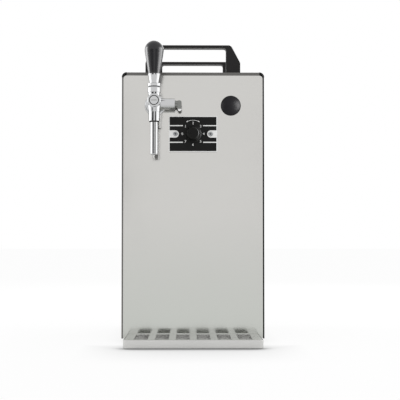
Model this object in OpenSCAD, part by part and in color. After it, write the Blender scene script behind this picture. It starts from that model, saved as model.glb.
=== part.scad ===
// Countertop draft beer cooler with one tap, a drip tray and two carry handles.
// Millimetres. X runs to the right, Y to the back and Z up.
// The origin is on the table, under the middle of the whole object.

/* [Case] */
// Width over the corner profiles
case_w = 240; // [225:1:300]
// Depth from the front panel's face to the rear panel's face
case_d = 340; // [335:1:420]
// Height from the underside of the case to its top
case_h = 447; // [440:1:520]
// Thickness of the sheet metal
sheet = 1.2; // [0.8:0.1:2]
// Height of the rubber feet
foot_h = 6; // [5.8:0.1:12]
// Radius of the rubber feet
foot_r = 14; // [10:0.5:18]
// Outer radius of the rounded top corners
corner_r = 8.4; // [7.5:0.1:12]
// Thickness of the corner profiles
corner_t = 3; // [2.5:0.1:3.6]
// How far the corner profiles stand proud of the sheets
corner_proud = 0.5; // [0.2:0.1:1]
// Width of the folded lip at the front edge of a side panel
side_lip = 2.3; // [2:0.1:4]
// Height of the folded lip at the front edge of the top panel
top_lip = 5; // [3:0.1:6]
// Height of the base pan's walls
pan_h = 24; // [20:1:34]
// Distance from a foot's middle to the edges of the case
foot_inset = 26; // [20:1:34]

/* [Carry handles] */
// Width over a handle's legs
handle_w = 167; // [150:1:190]
// Width of a handle's leg
handle_leg = 25; // [22:1:32]
// Height of a handle above the top panel
handle_h = 61.5; // [52:0.5:80]
// Thickness of the grip bar
handle_bar = 5; // [4:0.1:12]
// Depth of a handle from front to back
handle_d = 17; // [14:1:32]
// Width of the slanted shoulder
shoulder_w = 16.5; // [14:0.5:21]
// Height of the slanted shoulder
shoulder_h = 31; // [20:1:34]
// Distance from the case's front or rear face to the nearer handle's middle
handle_in = 87; // [60:1:110]

/* [Tap] */
// Distance of the tap, and of the spare tap hole, from the middle of the case
tap_off = 63.5; // [58:0.5:72]
// Distance of the tap's axis below the top of the case
tap_drop = 56.5; // [50:0.5:76]
// Outer radius of the threaded shank
shank_r = 11; // [10:0.1:11.5]
// Length of shank behind the front panel's face
shank_l = 50; // [40:1:52]
// Bore radius of the beer way in the shank
way_r = 4; // [3:0.1:4.2]
// Radius of the wall rosette
rosette_r = 17.8; // [17:0.1:24]
// Thickness of the wall rosette
rosette_t = 5; // [4:0.1:8]
// Radius of the tap barrel
barrel_r = 11; // [10.6:0.1:12]
// Bore radius of the tap barrel
bore_r = 8; // [7.8:0.1:8.6]
// Length of the flow compensator's chamber
chamber_l = 31; // [30.5:0.5:40]
// Thickness of the valve seat
seat_t = 2.5; // [2:0.1:4]
// Distance from the valve seat to the lever's axis
lever_ahead = 13.2; // [13.2:0.1:18]
// Distance from the lever's axis to the front end of the barrel
cap_ahead = 10.4; // [10.4:0.1:16]
// Thickness of the front cap's disc
cap_t = 3; // [3:0.1:8]
// Height of the lever's ball above the tap's axis
pivot_up = 15.5; // [15.4:0.1:17]
// Angle through which the lever opens
lever_open = 30; // [20:1:30]
// Radius of the lever's ball
ball_r = 5; // [4.6:0.1:5.2]
// Radius of the nut that holds the lever
nut_r = 10.6; // [9.5:0.1:11]
// Radius of the ring under the lever's ferrule
ring_r = 10.8; // [10.4:0.1:12]
// Height of the ring's top above the tap's axis
ring_top = 28.8; // [28.4:0.1:32]
// Height of the ferrule's top above the tap's axis
ferrule_top = 44.2; // [40:0.1:50]
// Radius of the ferrule's top
ferrule_r = 10.3; // [8:0.1:12]
// Height of the grip's top above the tap's axis
grip_top = 98.9; // [85:0.1:110]
// Largest radius of the grip
grip_r = 15.6; // [12:0.1:18]
// Outer radius of the spout tube
spout_r = 6.4; // [5.5:0.1:7]
// Bore radius of the spout tube
spout_bore = 4.6; // [3.5:0.1:4.8]
// Distance of the spout's mouth below the tap's axis
spout_low = 87; // [70:1:110]
// Distance of the outlet boss's end below the tap's axis
boss_low = 32.5; // [30:0.5:40]
// Radius of the compensator's side stub
stub_r = 9.3; // [8.5:0.1:10.5]
// Reach of the side stub from the tap's axis
stub_l = 33; // [26:0.5:36]

/* [Thermostat] */
// Width of the dial plate
plate_w = 81.5; // [76:0.5:100]
// Height of the dial plate
plate_h = 60.5; // [50:0.5:70]
// Thickness of the dial plate
plate_t = 2; // [1.5:0.1:4]
// Distance of the dial's middle below the top of the case
dial_drop = 104.5; // [98:0.5:130]
// Distance of the plate's screws from the dial's middle
dial_screw = 29.5; // [28:0.5:34]
// Radius of the knob's skirt
knob_r = 13.8; // [12:0.1:16]
// Radius of the knob's face
knob_face = 9.8; // [8:0.1:11]
// Length of the knob
knob_l = 15.5; // [13:0.1:22]

/* [Drip tray] */
// Width of the tray
tray_w = 220; // [212:1:236]
// Depth of the tray in front of the case
tray_d = 115; // [105:1:150]
// Height of the tray
tray_h = 14; // [13:0.5:24]
// Wall thickness of the tray
tray_wall = 1.2; // [0.8:0.1:2]
// Corner radius of the tray
tray_corner = 7; // [4:0.5:12]
// Thickness of the grate
grate_t = 1.5; // [1:0.1:3]
// Width of a slot in the grate
slot_w = 21.5; // [15:0.5:24]
// Width of a bar between two slots
slot_bar = 11.6; // [8:0.2:14]
// Length of the slots
slot_l = 94; // [50:1:96]

/* [Cooling] */
// Radius of the cooling coils at the middle of their tube
coil_r = 58; // [50:0.5:60]
// Outer radius of the coils' tube
tube_r = 4; // [3:0.1:4.2]
// Rise of a coil in one turn
coil_pitch = 20; // [18.5:0.1:21]
// Thickness of the insulation
foam_t = 20; // [15:0.5:22]
// Radius of the compressor's shell
comp_r = 60; // [54:0.5:62]
// Height of the compressor's shell
comp_h = 140; // [120:1:150]
// Width of the condenser's fin block
cond_w = 170; // [160:1:172]
// Depth of the condenser's fin block
cond_d = 40; // [30:1:42]
// Side of the fan's square frame
fan_w = 150; // [130:1:154]
// Depth of the fan's frame
fan_d = 38; // [36:1:40]
// Distance between the rows of condenser tube
row_pitch = 26; // [22:0.5:28]

/* [Rear fittings] */
// Reach of the push-in fittings behind the rear panel
rear_reach = 14; // [12:0.5:20]
// Bore radius of the push-in collets
collet_bore = 4.85; // [3:0.05:5]
// Travel of a collet when it is pushed to let a tube go
collet_travel = 1.5; // [1:0.1:2]
// Tilt of a rocker switch to either side
rocker_tilt = 9; // [6:0.5:10]

/* [Hidden] */
$fn = 48;

// Clearances: fixed pieces, moving pieces, shafts in bearings, and overlap of cuts
fit = 0.15;
run = 0.3;
bearing = 0.05;
cut = 1;

// Colours
steel = [0.80, 0.79, 0.77];
dark_steel = [0.36, 0.35, 0.33];
chrome = [0.86, 0.87, 0.88];
black = [0.10, 0.10, 0.10];
rubber = [0.14, 0.14, 0.14];
white = [0.93, 0.93, 0.92];
copper = [0.72, 0.43, 0.28];
aluminium = [0.75, 0.76, 0.78];
foam = [0.90, 0.88, 0.80];
grey = [0.45, 0.45, 0.46];

// Case faces
half_w = case_w / 2;
top_z = foot_h + case_h;
panel_y = tray_d - (tray_d + case_d + rear_reach) / 2;
rear_y = panel_y + case_d;
floor_z = foot_h + sheet;
side_out = half_w - corner_proud;
side_in = side_out - sheet;
roof_z = top_z - corner_proud;
roof_in = roof_z - sheet;
inner_front = panel_y + sheet;
inner_rear = rear_y - sheet;
corner_x = half_w - corner_r;
corner_z = top_z - corner_r;
corner_leg = 10;
corner_leg_t = 1.8;
pane_x = side_out - side_lip - fit;
pane_top = roof_z - top_lip - fit;
pane_r = corner_r - corner_t;
pan_x = side_in - fit;

// Screws: M4 with a cross recess in a pan head
screw_r = 2;
screw_head_r = 3.8;
screw_head_h = 2.2;
screw_head_edge = 1.4;
screw_hole = screw_r + fit;
cross_w = 4.4;
cross_t = 1;
cross_deep = 1.2;
rear_screw_in = 34;
rear_screw_x = half_w - rear_screw_in;
rear_screw_l = 7;
rear_screw_low = foot_h + pan_h - 8;
rear_screw_high = roof_in - 14;
dial_screw_l = 10;
flange_h = 22;
handle_screw_x = handle_w / 2 - handle_leg / 2;
handle_screw_l = 14;
handle_places = [panel_y + handle_in, rear_y - handle_in];

// Base pan: foot stems and air slots under the compressor
foot_stem_r = 4;
foot_stem_l = 3;
foot_taper = 1.5;
vent_pitch = 14;
vent_w = 6;
vent_l = 80;

// Tap: distances out of the front panel, then heights from the tap's axis
tap_x = -tap_off;
tap_z = top_z - tap_drop;
flange_t = 3;
flange_r = 15;
spigot_l = 4;
body_t = rosette_t + flange_t;
seat_back = body_t + chamber_l;
seat_front = seat_back + seat_t;
seat_hole = 4.6;
lever_t = seat_front + lever_ahead;
spout_t = lever_t - 2;
cap_front = lever_t + cap_ahead;
plug_l = 4;
lever_travel = pivot_up * sin(lever_open);
dome_r = nut_r + 1.5;
stem_r = 2.8;
stem_low_r = 1.6;
tip_r = 2.5;
neck_bore = (pivot_up - bore_r + run) * tan(lever_open) + stem_low_r / cos(lever_open) + run;
seal_r = max(ball_r + 2, neck_bore + 0.5);
seal_low = pivot_up - 2.7;
neck_top = seal_low + 1;
neck_r = nut_r - 0.5;
nut_low = neck_top + fit;
socket_r = ball_r + run;
ring_sphere = dome_r + run;
ring_rim = 8.4;
stud_r = 4;
stud_l = 14;
boss_r = spout_r + 2.6;
spout_socket = 14;
outlet_r = 5;

// Flow compensator: a cone in the barrel, moved by an eccentric pin on a spindle
comp_t = body_t + 11;
spindle_r = 4;
pin_r = 1.4;
pin_off = 2.4;
pin_in = 5.2;
spindle_in = bore_r + run;
cone_guide = comp_t - 4;
cone_nose = cone_guide - 14;
cone_end = comp_t + 4;
cone_r = bore_r - 0.4;
groove_half = pin_r + 0.4;
groove_r = 4.6;
wing_l = 7;
wing_up = 6;
wing_down = 11.5;
wing_t = 4.4;
hub_r = 6.2;
hub_l = 4;

// Thermostat
dial_z = top_z - dial_drop;
bush_r = 5;
shaft_r = 3;
knob_gap = 0.4;
skirt_l = 3;
thermo_w = 44;
thermo_h = 34;
thermo_d = 26;

// Drip tray and grate
tray_back = panel_y - run;
tray_front = panel_y - tray_d;
ledge = 3;
ledge_z = tray_h - grate_t;
grate_gap = 0.5;
slot_count = floor((tray_w - 2 * tray_wall - slot_bar) / (slot_w + slot_bar));
slot_pitch = slot_w + slot_bar;
tray_pad = 1;
pad_r = 7;
pad_in = 24;
tongue_w = 70;
tongue_l = 40;
tongue_h = foot_h - run;

// Cooling block
coil_x = tap_x + coil_r;
shaft_room = shank_l + 12;
foam_half = coil_r + tube_r + 2 + foam_t;
foam_front = panel_y + shaft_room;
coil_y = foam_front + foam_half;
foam_rear = coil_y + foam_half;
beer_turns = 6;
coil_low = tap_z - beer_turns * coil_pitch;
evap_low = coil_low + coil_pitch / 2;
evap_turns = beer_turns - 0.5;
evap_high = evap_low + evap_turns * coil_pitch;
pocket_low = coil_low - tube_r - 10;
pocket_high = tap_z + tube_r + 10;
foam_low = pocket_low - foam_t;
foam_high = pocket_high + foam_t;
drum_r = coil_r - tube_r - 0.5;
drum_bore = 36;
tail_out = 2;
tail_hole = tube_r + 0.4;
coil_rings = 24;
coil_sides = 6;
shank_end = panel_y + shank_l;
shelf_z = foam_low - sheet;
bulb_r = 3.5;
bulb_l = 70;
bulb_wall = 3;
bulb_y = coil_y - drum_r + bulb_r + bulb_wall;
cap_tube_r = 1.2;

// Condenser and fan
cond_clear = 1;
cond_back = rear_y - rear_screw_l - cond_clear;
cond_front = cond_back - cond_d;
cond_mid = (cond_front + cond_back) / 2;
cond_rows = 6;
cond_low = floor_z + 22;
row_low = cond_low + 16;
row_high = row_low + (cond_rows - 1) * row_pitch;
cond_high = row_high + 16;
fin_pitch = 10;
fin_t = 0.8;
cond_tube_r = 3.5;
tube_end_x = cond_w / 2 + 6;
fan_z = (cond_low + cond_high) / 2;
fan_back = cond_front - 2;
fan_front = fan_back - fan_d;
ring_clear = 3;
blade_r = fan_w / 2 - 4 - ring_clear;
motor_r = 22;
motor_l = 18;
fan_shaft_r = 2.5;
fan_hub_r = 26;
fan_hub_l = 16;
spoke_t = 4;
side_x = half_w - 16;

// Air pump
pump_y = inner_front + 12;
pump_w = 90;
pump_d = 52;
pump_h = 56;
pump_foot = 6;
nipple_r = 3;
nipple_l = 13;
hose_r = 5;

// Compressor, a little ahead of the middle between the pump and the fan
comp_ahead = 8.6;
comp_y = (pump_y + pump_d + fan_front) / 2 - comp_ahead;
comp_foot_x = comp_r + 6;
comp_foot_y = 50;
comp_plate_t = 3;
comp_wall = 3;
comp_shoulder = 26;
seam_out = 2.5;
seam_h = 6;
mount_h = 10;
mount_r = 10;
mount_waist = 6;
mount_cap = 3;
comp_stud_r = 3;
comp_stud_out = 8;
comp_z = floor_z + mount_h;
cover_up = 40;
cover_low = comp_z + cover_up;
cover_h = 44;
cover_w = 44;
cover_out = 24;
cover_in = 12;
line_r = 3;
drop_clear = 7;

// Rear panel layout
fitting_z = coil_low;
fitting_r = 9;
fitting_tail = 24;
inlet_x = 62;
electric_z = cond_high + 34;
inlet_w = 28;
inlet_h = 22;
inlet_d = 22;
rocker_w = 11.2;
rocker_h = 18;
rocker_d = 4.5;
rocker_room = 11;
rocker_wall = 2;
switch_d = 20;
switch_floor = 3;
switch_rim = 2;
switch_places = [0, -40];
slat_h = 5;
slat_pitch = 10;
louvre_l = 70;
louvre_low = floor_z + 46;

// Shape helpers
function unit(v) = v / norm(v);
function turn(a, b) = (b - a + 540) % 360 - 180;
function arc(c, r, a0, a1, n) =
  [for (i = [0:n]) c + r * [cos(a0 + (a1 - a0) * i / n), sin(a0 + (a1 - a0) * i / n)]];

// A corner p between a and b, rounded with radius r in n steps
function round_corner(a, p, b, r, n) =
  let (
    u = unit(a - p),
    v = unit(b - p),
    half = acos(u * v) / 2,
    c = p + unit(u + v) * r / sin(half),
    s = p + u * r / tan(half) - c,
    e = p + v * r / tan(half) - c,
    a0 = atan2(s[1], s[0]),
    da = turn(a0, atan2(e[1], e[0]))
  ) arc(c, r, a0, a0 + da, n);

// A closed outline whose corners have the given radii
function rounded(points, radii, n = 6) =
  let (m = len(points))
    [for (i = [0:m - 1]) each (radii[i] > 0
      ? round_corner(points[(i + m - 1) % m], points[i], points[(i + 1) % m], radii[i], n)
      : [points[i]])];

module box(low, high) {
  translate(low) cube(high - low);
}

// Axes turned to the right, to the back and to the front
module to_right(p) {
  translate(p) rotate([0, 90, 0]) children();
}

module to_back(p) {
  translate(p) rotate([-90, 0, 0]) children();
}

module to_front(p) {
  translate(p) rotate([90, 0, 0]) children();
}

// The tap's own places: t is the distance out of the front panel
module at_tap(t = 0) {
  translate([tap_x, panel_y - t, tap_z]) children();
}

module along_tap(t = 0) {
  to_front([tap_x, panel_y - t, tap_z]) children();
}

// A tube through corners, with right-angled bends of one radius
module straight(a, b, r, bore) {
  n = unit(b - a);
  u = abs(n[2]) < 0.9 ? unit(cross([0, 0, 1], n)) : unit(cross([1, 0, 0], n));
  v = cross(n, u);
  multmatrix([
    [u[0], v[0], n[0], a[0]], [u[1], v[1], n[1], a[1]], [u[2], v[2], n[2], a[2]], [0, 0, 0, 1]
  ])
    linear_extrude(norm(b - a)) tube_section(r, bore);
}

module elbow(a, p, b, r, bore, bend) {
  n = unit(p - a);
  m = unit(b - p);
  w = cross(n, m);
  c = p - n * bend + m * bend;
  multmatrix([
    [-m[0], n[0], w[0], c[0]], [-m[1], n[1], w[1], c[1]], [-m[2], n[2], w[2], c[2]], [0, 0, 0, 1]
  ])
    rotate_extrude(angle = 90) translate([bend, 0]) tube_section(r, bore);
}

module tube_section(r, bore) {
  difference() {
    circle(r);
    if (bore > 0) circle(bore);
  }
}

module pipe(path, r, bore, bend) {
  last = len(path) - 1;
  for (i = [0:last - 1]) {
    n = unit(path[i + 1] - path[i]);
    straight(path[i] + n * (i > 0 ? bend : 0), path[i + 1] - n * (i < last - 1 ? bend : 0), r, bore);
  }
  for (i = [1:last - 1]) elbow(path[i - 1], path[i], path[i + 1], r, bore, bend);
}

// A can with rounded shoulders, standing on its end
module rounded_can(r, h, shoulder) {
  rotate_extrude() polygon(concat(
    [[0, 0]], arc([r - shoulder, shoulder], shoulder, -90, 0, 6),
    arc([r - shoulder, h - shoulder], shoulder, 0, 90, 6), [[0, h]]
  ));
}

module screw(l) {
  edge = screw_head_edge;
  cylinder(r = screw_r, h = l);
  difference() {
    rotate_extrude() polygon(concat(
      [[0, 0], [screw_head_r, 0]],
      arc([screw_head_r - edge, edge - screw_head_h], edge, 0, -90, 4), [[0, -screw_head_h]]));
    for (a = [0, 90]) rotate([0, 0, a]) translate([-cross_w / 2, -cross_t / 2, -screw_head_h - cut])
      cube([cross_w, cross_t, cross_deep + cut]);
  }
}

// Case
module pane_outline() {
  polygon(rounded(
    [[-pane_x, foot_h], [pane_x, foot_h], [pane_x, pane_top], [-pane_x, pane_top]],
    [0, 0, pane_r, pane_r]
  ));
}

module pane(y) {
  translate([0, y + sheet, 0]) rotate([90, 0, 0]) linear_extrude(sheet) pane_outline();
}

module foot_places() {
  for (x = [-1, 1]) for (y = [panel_y + foot_inset, rear_y - foot_inset])
    translate([x * (half_w - foot_inset), y, 0]) children();
}

module comp_feet_places() {
  for (x = [-1, 1]) for (y = [-1, 1])
    translate([x * comp_foot_x, comp_y + y * comp_foot_y, 0]) children();
}

module base_pan() {
  front = inner_front + fit;
  rear = inner_rear - fit;
  color(dark_steel) {
    difference() {
      box([-pan_x, front, foot_h], [pan_x, rear, foot_h + pan_h]);
      box([-pan_x + sheet, front + sheet, floor_z], [pan_x - sheet, rear - sheet, foot_h + pan_h + cut]);
      foot_places() translate([0, 0, foot_h - cut]) cylinder(r = foot_stem_r + fit, h = sheet + 2 * cut);
      for (x = [-1, 1]) to_back([x * rear_screw_x, rear - sheet - cut, rear_screw_low])
        cylinder(r = screw_hole, h = sheet + 2 * cut);
      for (i = [-3:3]) translate([i * vent_pitch - vent_w / 2, comp_y - vent_l / 2, foot_h - cut])
        cube([vent_w, vent_l, sheet + 2 * cut]);
    }
    comp_feet_places() translate([0, 0, floor_z - sheet / 2])
      cylinder(r = comp_stud_r, h = mount_h + comp_stud_out + sheet / 2);
  }
}

module mid_shelf() {
  front = foam_front - 2;
  rear = foam_rear + tail_out;
  drop = 16;
  color(steel) difference() {
    box([-pan_x, front, shelf_z - drop], [pan_x, rear, shelf_z + sheet]);
    box([-pan_x + sheet, front - cut, shelf_z - drop - cut], [pan_x - sheet, rear + cut, shelf_z]);
  }
}

module front_panel() {
  color(steel) difference() {
    pane(panel_y);
    for (x = [-tap_off, tap_off]) to_back([x, panel_y - cut, tap_z])
      cylinder(r = shank_r + fit, h = sheet + 2 * cut);
    to_back([0, panel_y - cut, dial_z]) cylinder(r = bush_r + fit, h = sheet + 2 * cut);
    for (x = [-dial_screw, dial_screw]) to_back([x, panel_y - cut, dial_z])
      cylinder(r = screw_hole, h = sheet + 2 * cut);
  }
}

module rear_panel() {
  slats = floor((cond_high - cond_low - 12) / slat_pitch);
  slat_w = cond_w / 2 - 12;
  y = inner_rear - cut;
  deep = sheet + 2 * cut;
  color(steel) difference() {
    pane(inner_rear);
    for (i = [0:slats - 1]) for (x = [-slat_w - 4, 4])
      translate([x, y, cond_low + 8 + i * slat_pitch]) cube([slat_w, deep, slat_h]);
    for (x = [-tap_off, tap_off]) to_back([x, y, fitting_z]) cylinder(r = fitting_r + fit, h = deep);
    box([inlet_x - inlet_w / 2 - fit, y, electric_z - inlet_h / 2 - fit],
      [inlet_x + inlet_w / 2 + fit, y + deep, electric_z + inlet_h / 2 + fit]);
    for (x = switch_places) box(
      [x - rocker_w / 2 - run - rocker_wall - fit, y, electric_z - rocker_room - rocker_wall - fit],
      [x + rocker_w / 2 + run + rocker_wall + fit, y + deep, electric_z + rocker_room + rocker_wall + fit]);
    for (x = [-1, 1]) for (z = [rear_screw_low, rear_screw_high])
      to_back([x * rear_screw_x, y, z]) cylinder(r = screw_hole, h = deep);
  }
}

module side_panel(side) {
  color(steel) mirror([side < 0 ? 1 : 0, 0, 0]) difference() {
    box([side_out - side_lip, panel_y, foot_h], [side_out, rear_y, corner_z]);
    box([side_out - side_lip - cut, inner_front, foot_h - cut], [side_in, inner_rear, corner_z + cut]);
    for (i = [0:8]) translate([side_in - cut, comp_y - louvre_l / 2, louvre_low + i * slat_pitch])
      cube([sheet + 2 * cut, louvre_l, slat_h]);
  }
}

module side_panel_left() {
  side_panel(-1);
}

module side_panel_right() {
  side_panel(1);
}

module top_panel() {
  color(steel) difference() {
    union() {
      difference() {
        box([-corner_x, panel_y, roof_z - top_lip], [corner_x, rear_y, roof_z]);
        box([-corner_x - cut, inner_front, roof_z - top_lip - cut], [corner_x + cut, inner_rear, roof_in]);
      }
      box([-corner_x + corner_leg + 2, inner_rear - fit - sheet, roof_in - flange_h],
        [corner_x - corner_leg - 2, inner_rear - fit, roof_in + sheet / 2]);
    }
    for (y = handle_places) for (x = [-1, 1])
      translate([x * handle_screw_x, y, roof_in - cut]) cylinder(r = screw_hole, h = sheet + 2 * cut);
    for (x = [-1, 1]) to_back([x * rear_screw_x, inner_rear - fit - sheet - cut, rear_screw_high])
      cylinder(r = screw_hole, h = sheet + 2 * cut);
  }
}

module corner_profile(side) {
  ends = sheet + fit;
  color(black) mirror([side < 0 ? 1 : 0, 0, 0]) {
    to_back([corner_x, panel_y, corner_z]) rotate([0, 0, -90]) linear_extrude(case_d) polygon(concat(
      arc([0, 0], corner_r, 0, 90, 10), arc([0, 0], corner_r - corner_t, 90, 0, 10)));
    box([side_in - corner_leg_t, panel_y + ends, corner_z - corner_leg],
      [side_in, rear_y - ends, corner_z + 1]);
    box([corner_x - corner_leg, panel_y + ends, roof_in - corner_leg_t],
      [corner_x + 1, rear_y - ends, roof_in]);
  }
}

module corner_profile_left() {
  corner_profile(-1);
}

module corner_profile_right() {
  corner_profile(1);
}

module carry_handle(y) {
  w = handle_w / 2;
  window = w - handle_leg;
  color(black) difference() {
    translate([0, y + handle_d / 2, roof_z]) rotate([90, 0, 0]) linear_extrude(handle_d) difference() {
      polygon(rounded(
        [[-w, 0], [w, 0], [w, handle_h - shoulder_h], [w - shoulder_w, handle_h],
          [shoulder_w - w, handle_h], [-w, handle_h - shoulder_h]],
        [0, 0, 8, 7.5, 7.5, 8]));
      polygon(rounded(
        [[-window, -cut], [window, -cut], [window, handle_h - handle_bar], [-window, handle_h - handle_bar]],
        [0, 0, 4, 4]));
    }
    for (x = [-1, 1]) translate([x * handle_screw_x, y, roof_z - cut])
      cylinder(r = screw_hole, h = handle_screw_l + cut);
  }
}

module carry_handle_front() {
  carry_handle(handle_places[0]);
}

module carry_handle_rear() {
  carry_handle(handle_places[1]);
}

module case_screws() {
  color(chrome) {
    for (y = handle_places) for (x = [-1, 1])
      translate([x * handle_screw_x, y, roof_in]) screw(handle_screw_l);
    for (x = [-1, 1]) for (z = [rear_screw_low, rear_screw_high])
      to_front([x * rear_screw_x, rear_y, z]) screw(rear_screw_l);
    for (x = [-dial_screw, dial_screw]) to_back([x, panel_y - plate_t, dial_z]) screw(dial_screw_l);
  }
}

module rubber_feet() {
  color(rubber) foot_places() {
    cylinder(r1 = foot_r - foot_taper, r2 = foot_r, h = foot_h);
    cylinder(r = foot_stem_r, h = floor_z + foot_stem_l);
  }
}

// Tap
module tap_rosette() {
  rim = 2.4;
  color(chrome) along_tap() rotate_extrude() polygon(concat(
    [[shank_r + fit, 0], [rosette_r, 0]],
    arc([rosette_r - rim, rosette_t - rim], rim, 0, 90, 5), [[shank_r + fit, rosette_t]]));
}

module tap_shank() {
  flare = spigot_l + 16;
  color(chrome) along_tap() rotate_extrude() polygon([
    [way_r, -shank_l], [shank_r, -shank_l], [shank_r, rosette_t], [flange_r, rosette_t],
    [flange_r, body_t], [bore_r - bearing, body_t], [bore_r - bearing, body_t + spigot_l],
    [bore_r - 1, body_t + spigot_l], [way_r, body_t + spigot_l - flare]]);
}

module shank_nut() {
  nut_l = 8;
  color(chrome) to_back([tap_x, inner_front, tap_z]) difference() {
    cylinder(r = shank_r + 6, h = nut_l, $fn = 6);
    translate([0, 0, -cut]) cylinder(r = shank_r + fit, h = nut_l + 2 * cut);
  }
}

module tap_body() {
  color(chrome) difference() {
    union() {
      along_tap(body_t) cylinder(r = barrel_r, h = cap_front - body_t);
      at_tap(lever_t) cylinder(r1 = neck_r - 1.6, r2 = neck_r, h = neck_top);
      at_tap(spout_t) translate([0, 0, -boss_low]) cylinder(r = boss_r, h = boss_low);
      at_tap(spout_t) translate([0, 0, -17.5]) cylinder(r1 = boss_r + 0.4, r2 = barrel_r - 0.4, h = 10);
      to_right([tap_x, panel_y - comp_t, tap_z]) cylinder(r = stub_r, h = stub_l);
    }
    along_tap(body_t - cut) cylinder(r = bore_r, h = chamber_l + cut);
    along_tap(seat_back - cut) cylinder(r = seat_hole, h = seat_t + 2 * cut);
    along_tap(seat_front) cylinder(r = bore_r, h = cap_front - seat_front + cut);
    at_tap(spout_t) translate([0, 0, -boss_low - cut]) cylinder(r = outlet_r, h = boss_low + cut);
    at_tap(spout_t) translate([0, 0, -boss_low - cut])
      cylinder(r = spout_r + bearing, h = spout_socket + cut);
    at_tap(lever_t) cylinder(r = neck_bore, h = neck_top + cut);
    at_tap(lever_t) translate([0, 0, seal_low]) cylinder(r = seal_r + fit, h = neck_top);
    to_right([tap_x, panel_y - comp_t, tap_z]) cylinder(r = spindle_r + bearing, h = stub_l + cut);
  }
}

module tap_spout() {
  top = spout_socket - boss_low;
  color(chrome) at_tap(spout_t) rotate_extrude() polygon([
    [spout_bore, -spout_low], [spout_r - 0.6, -spout_low], [spout_r, 1 - spout_low],
    [spout_r, top], [spout_bore, top]]);
}

module tap_front_cap() {
  edge = 1.2;
  groove_out = 8.1;
  groove_in = 6.7;
  color(chrome) along_tap() difference() {
    rotate_extrude() polygon([
      [0, cap_front - plug_l], [bore_r - bearing, cap_front - plug_l], [bore_r - bearing, cap_front],
      [barrel_r, cap_front], [barrel_r, cap_front + cap_t - edge], [barrel_r - edge, cap_front + cap_t],
      [groove_out, cap_front + cap_t], [groove_out, cap_front + cap_t - 0.8],
      [groove_in, cap_front + cap_t - 0.8], [groove_in, cap_front + cap_t - 0.2],
      [0, cap_front + cap_t - 0.2]]);
    translate([-4.5, -0.6, cap_front + cap_t - 1]) cube([9, 1.2, 2]);
  }
}

module lever_nut() {
  dome_start = acos(nut_r / dome_r);
  far = 2 * dome_r;
  slot = stem_r + run;
  s = [sin(lever_open), cos(lever_open)];
  side = slot * [cos(lever_open), -sin(lever_open)];
  color(chrome) at_tap(lever_t) difference() {
    rotate_extrude() polygon(concat(
      [[seal_r + fit, nut_low], [nut_r, nut_low]],
      arc([0, pivot_up], dome_r, dome_start, 90, 10),
      arc([0, pivot_up], socket_r, 90, 0, 8), [[seal_r + fit, pivot_up]]));
    translate([-slot, 0, pivot_up]) rotate([90, 0, 90]) linear_extrude(2 * slot) mirror([1, 0]) polygon([
      [-slot, 0], [-slot, far], [far * s[0] + side[0], far], far * s + side, side]);
  }
}

module pivot_seal() {
  low = asin((seal_low - pivot_up) / socket_r);
  color(rubber) at_tap(lever_t) rotate_extrude() polygon(concat(
    [[seal_r, seal_low], [seal_r, pivot_up]], arc([0, pivot_up], socket_r, 0, low, 4)));
}

module tap_lever() {
  rim = asin(ring_rim / ring_sphere);
  color(chrome) at_tap(lever_t) {
    sphere(r = tip_r);
    cylinder(r = stem_low_r, h = pivot_up);
    translate([0, 0, pivot_up]) sphere(r = ball_r);
    translate([0, 0, pivot_up]) cylinder(r = stem_r, h = ring_sphere + 0.5);
    rotate_extrude() polygon(concat(
      arc([0, pivot_up], ring_sphere, 90, rim, 8),
      [[ring_r, pivot_up + ring_rim], [ring_r, ring_top - 0.8], [ring_r - 0.8, ring_top],
        [ferrule_r - 2.7, ring_top + 0.3], [ferrule_r, ferrule_top - 1], [ferrule_r, ferrule_top],
        [stud_r, ferrule_top], [stud_r, ferrule_top + stud_l], [0, ferrule_top + stud_l]]));
  }
}

module tap_handle() {
  foot_r = ferrule_r - 0.6;
  ball_z = grip_top - grip_r;
  bore = stud_r + fit;
  bore_top = ferrule_top + stud_l + fit;
  color(black) at_tap(lever_t) rotate_extrude() polygon(concat(
    [[bore, ferrule_top], [foot_r, ferrule_top], [foot_r + 0.5, ferrule_top + 3]],
    arc([0, ball_z], grip_r, -8, 90, 14), [[0, bore_top], [bore, bore_top]]));
}

module valve_piston() {
  head_r = bore_r - 1.5;
  head_l = 4;
  rod_r = 3;
  body_r = 5.5;
  guide_r = bore_r - run;
  guide_t = 2;
  slot = tip_r + run;
  flat = 0.8;
  body_back = seat_front + lever_travel + 1;
  guide_back = lever_t + 3.6;
  head_front = seat_back - run;
  color(chrome) difference() {
    along_tap() rotate_extrude() polygon([
      [0, head_front - head_l], [head_r - 1, head_front - head_l], [head_r, head_front - head_l + 1],
      [head_r, head_front], [rod_r, head_front], [rod_r, body_back], [body_r, body_back],
      [body_r, guide_back], [guide_r, guide_back], [guide_r, guide_back + guide_t],
      [0, guide_back + guide_t]]);
    at_tap(lever_t) box([-bore_r, -bore_r, flat], [bore_r, lever_t - body_back + cut / 2, bore_r + cut]);
    at_tap(lever_t) box([-bore_r, -slot, -tip_r - run], [bore_r, slot, bore_r]);
  }
}

module compensator_cone() {
  color(white) along_tap() difference() {
    rotate_extrude() polygon([
      [0, cone_nose], [3.5, cone_nose], [cone_r - 0.6, cone_guide], [cone_r, cone_guide],
      [cone_r, comp_t - groove_half], [groove_r, comp_t - groove_half],
      [groove_r, comp_t + groove_half], [cone_r, comp_t + groove_half], [cone_r, cone_end], [0, cone_end]]);
    for (a = [45:90:315]) rotate([0, 0, a]) translate([cone_r, 0, cone_nose])
      cylinder(r = 1.7, h = cone_end - cone_nose + cut);
  }
}

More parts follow.
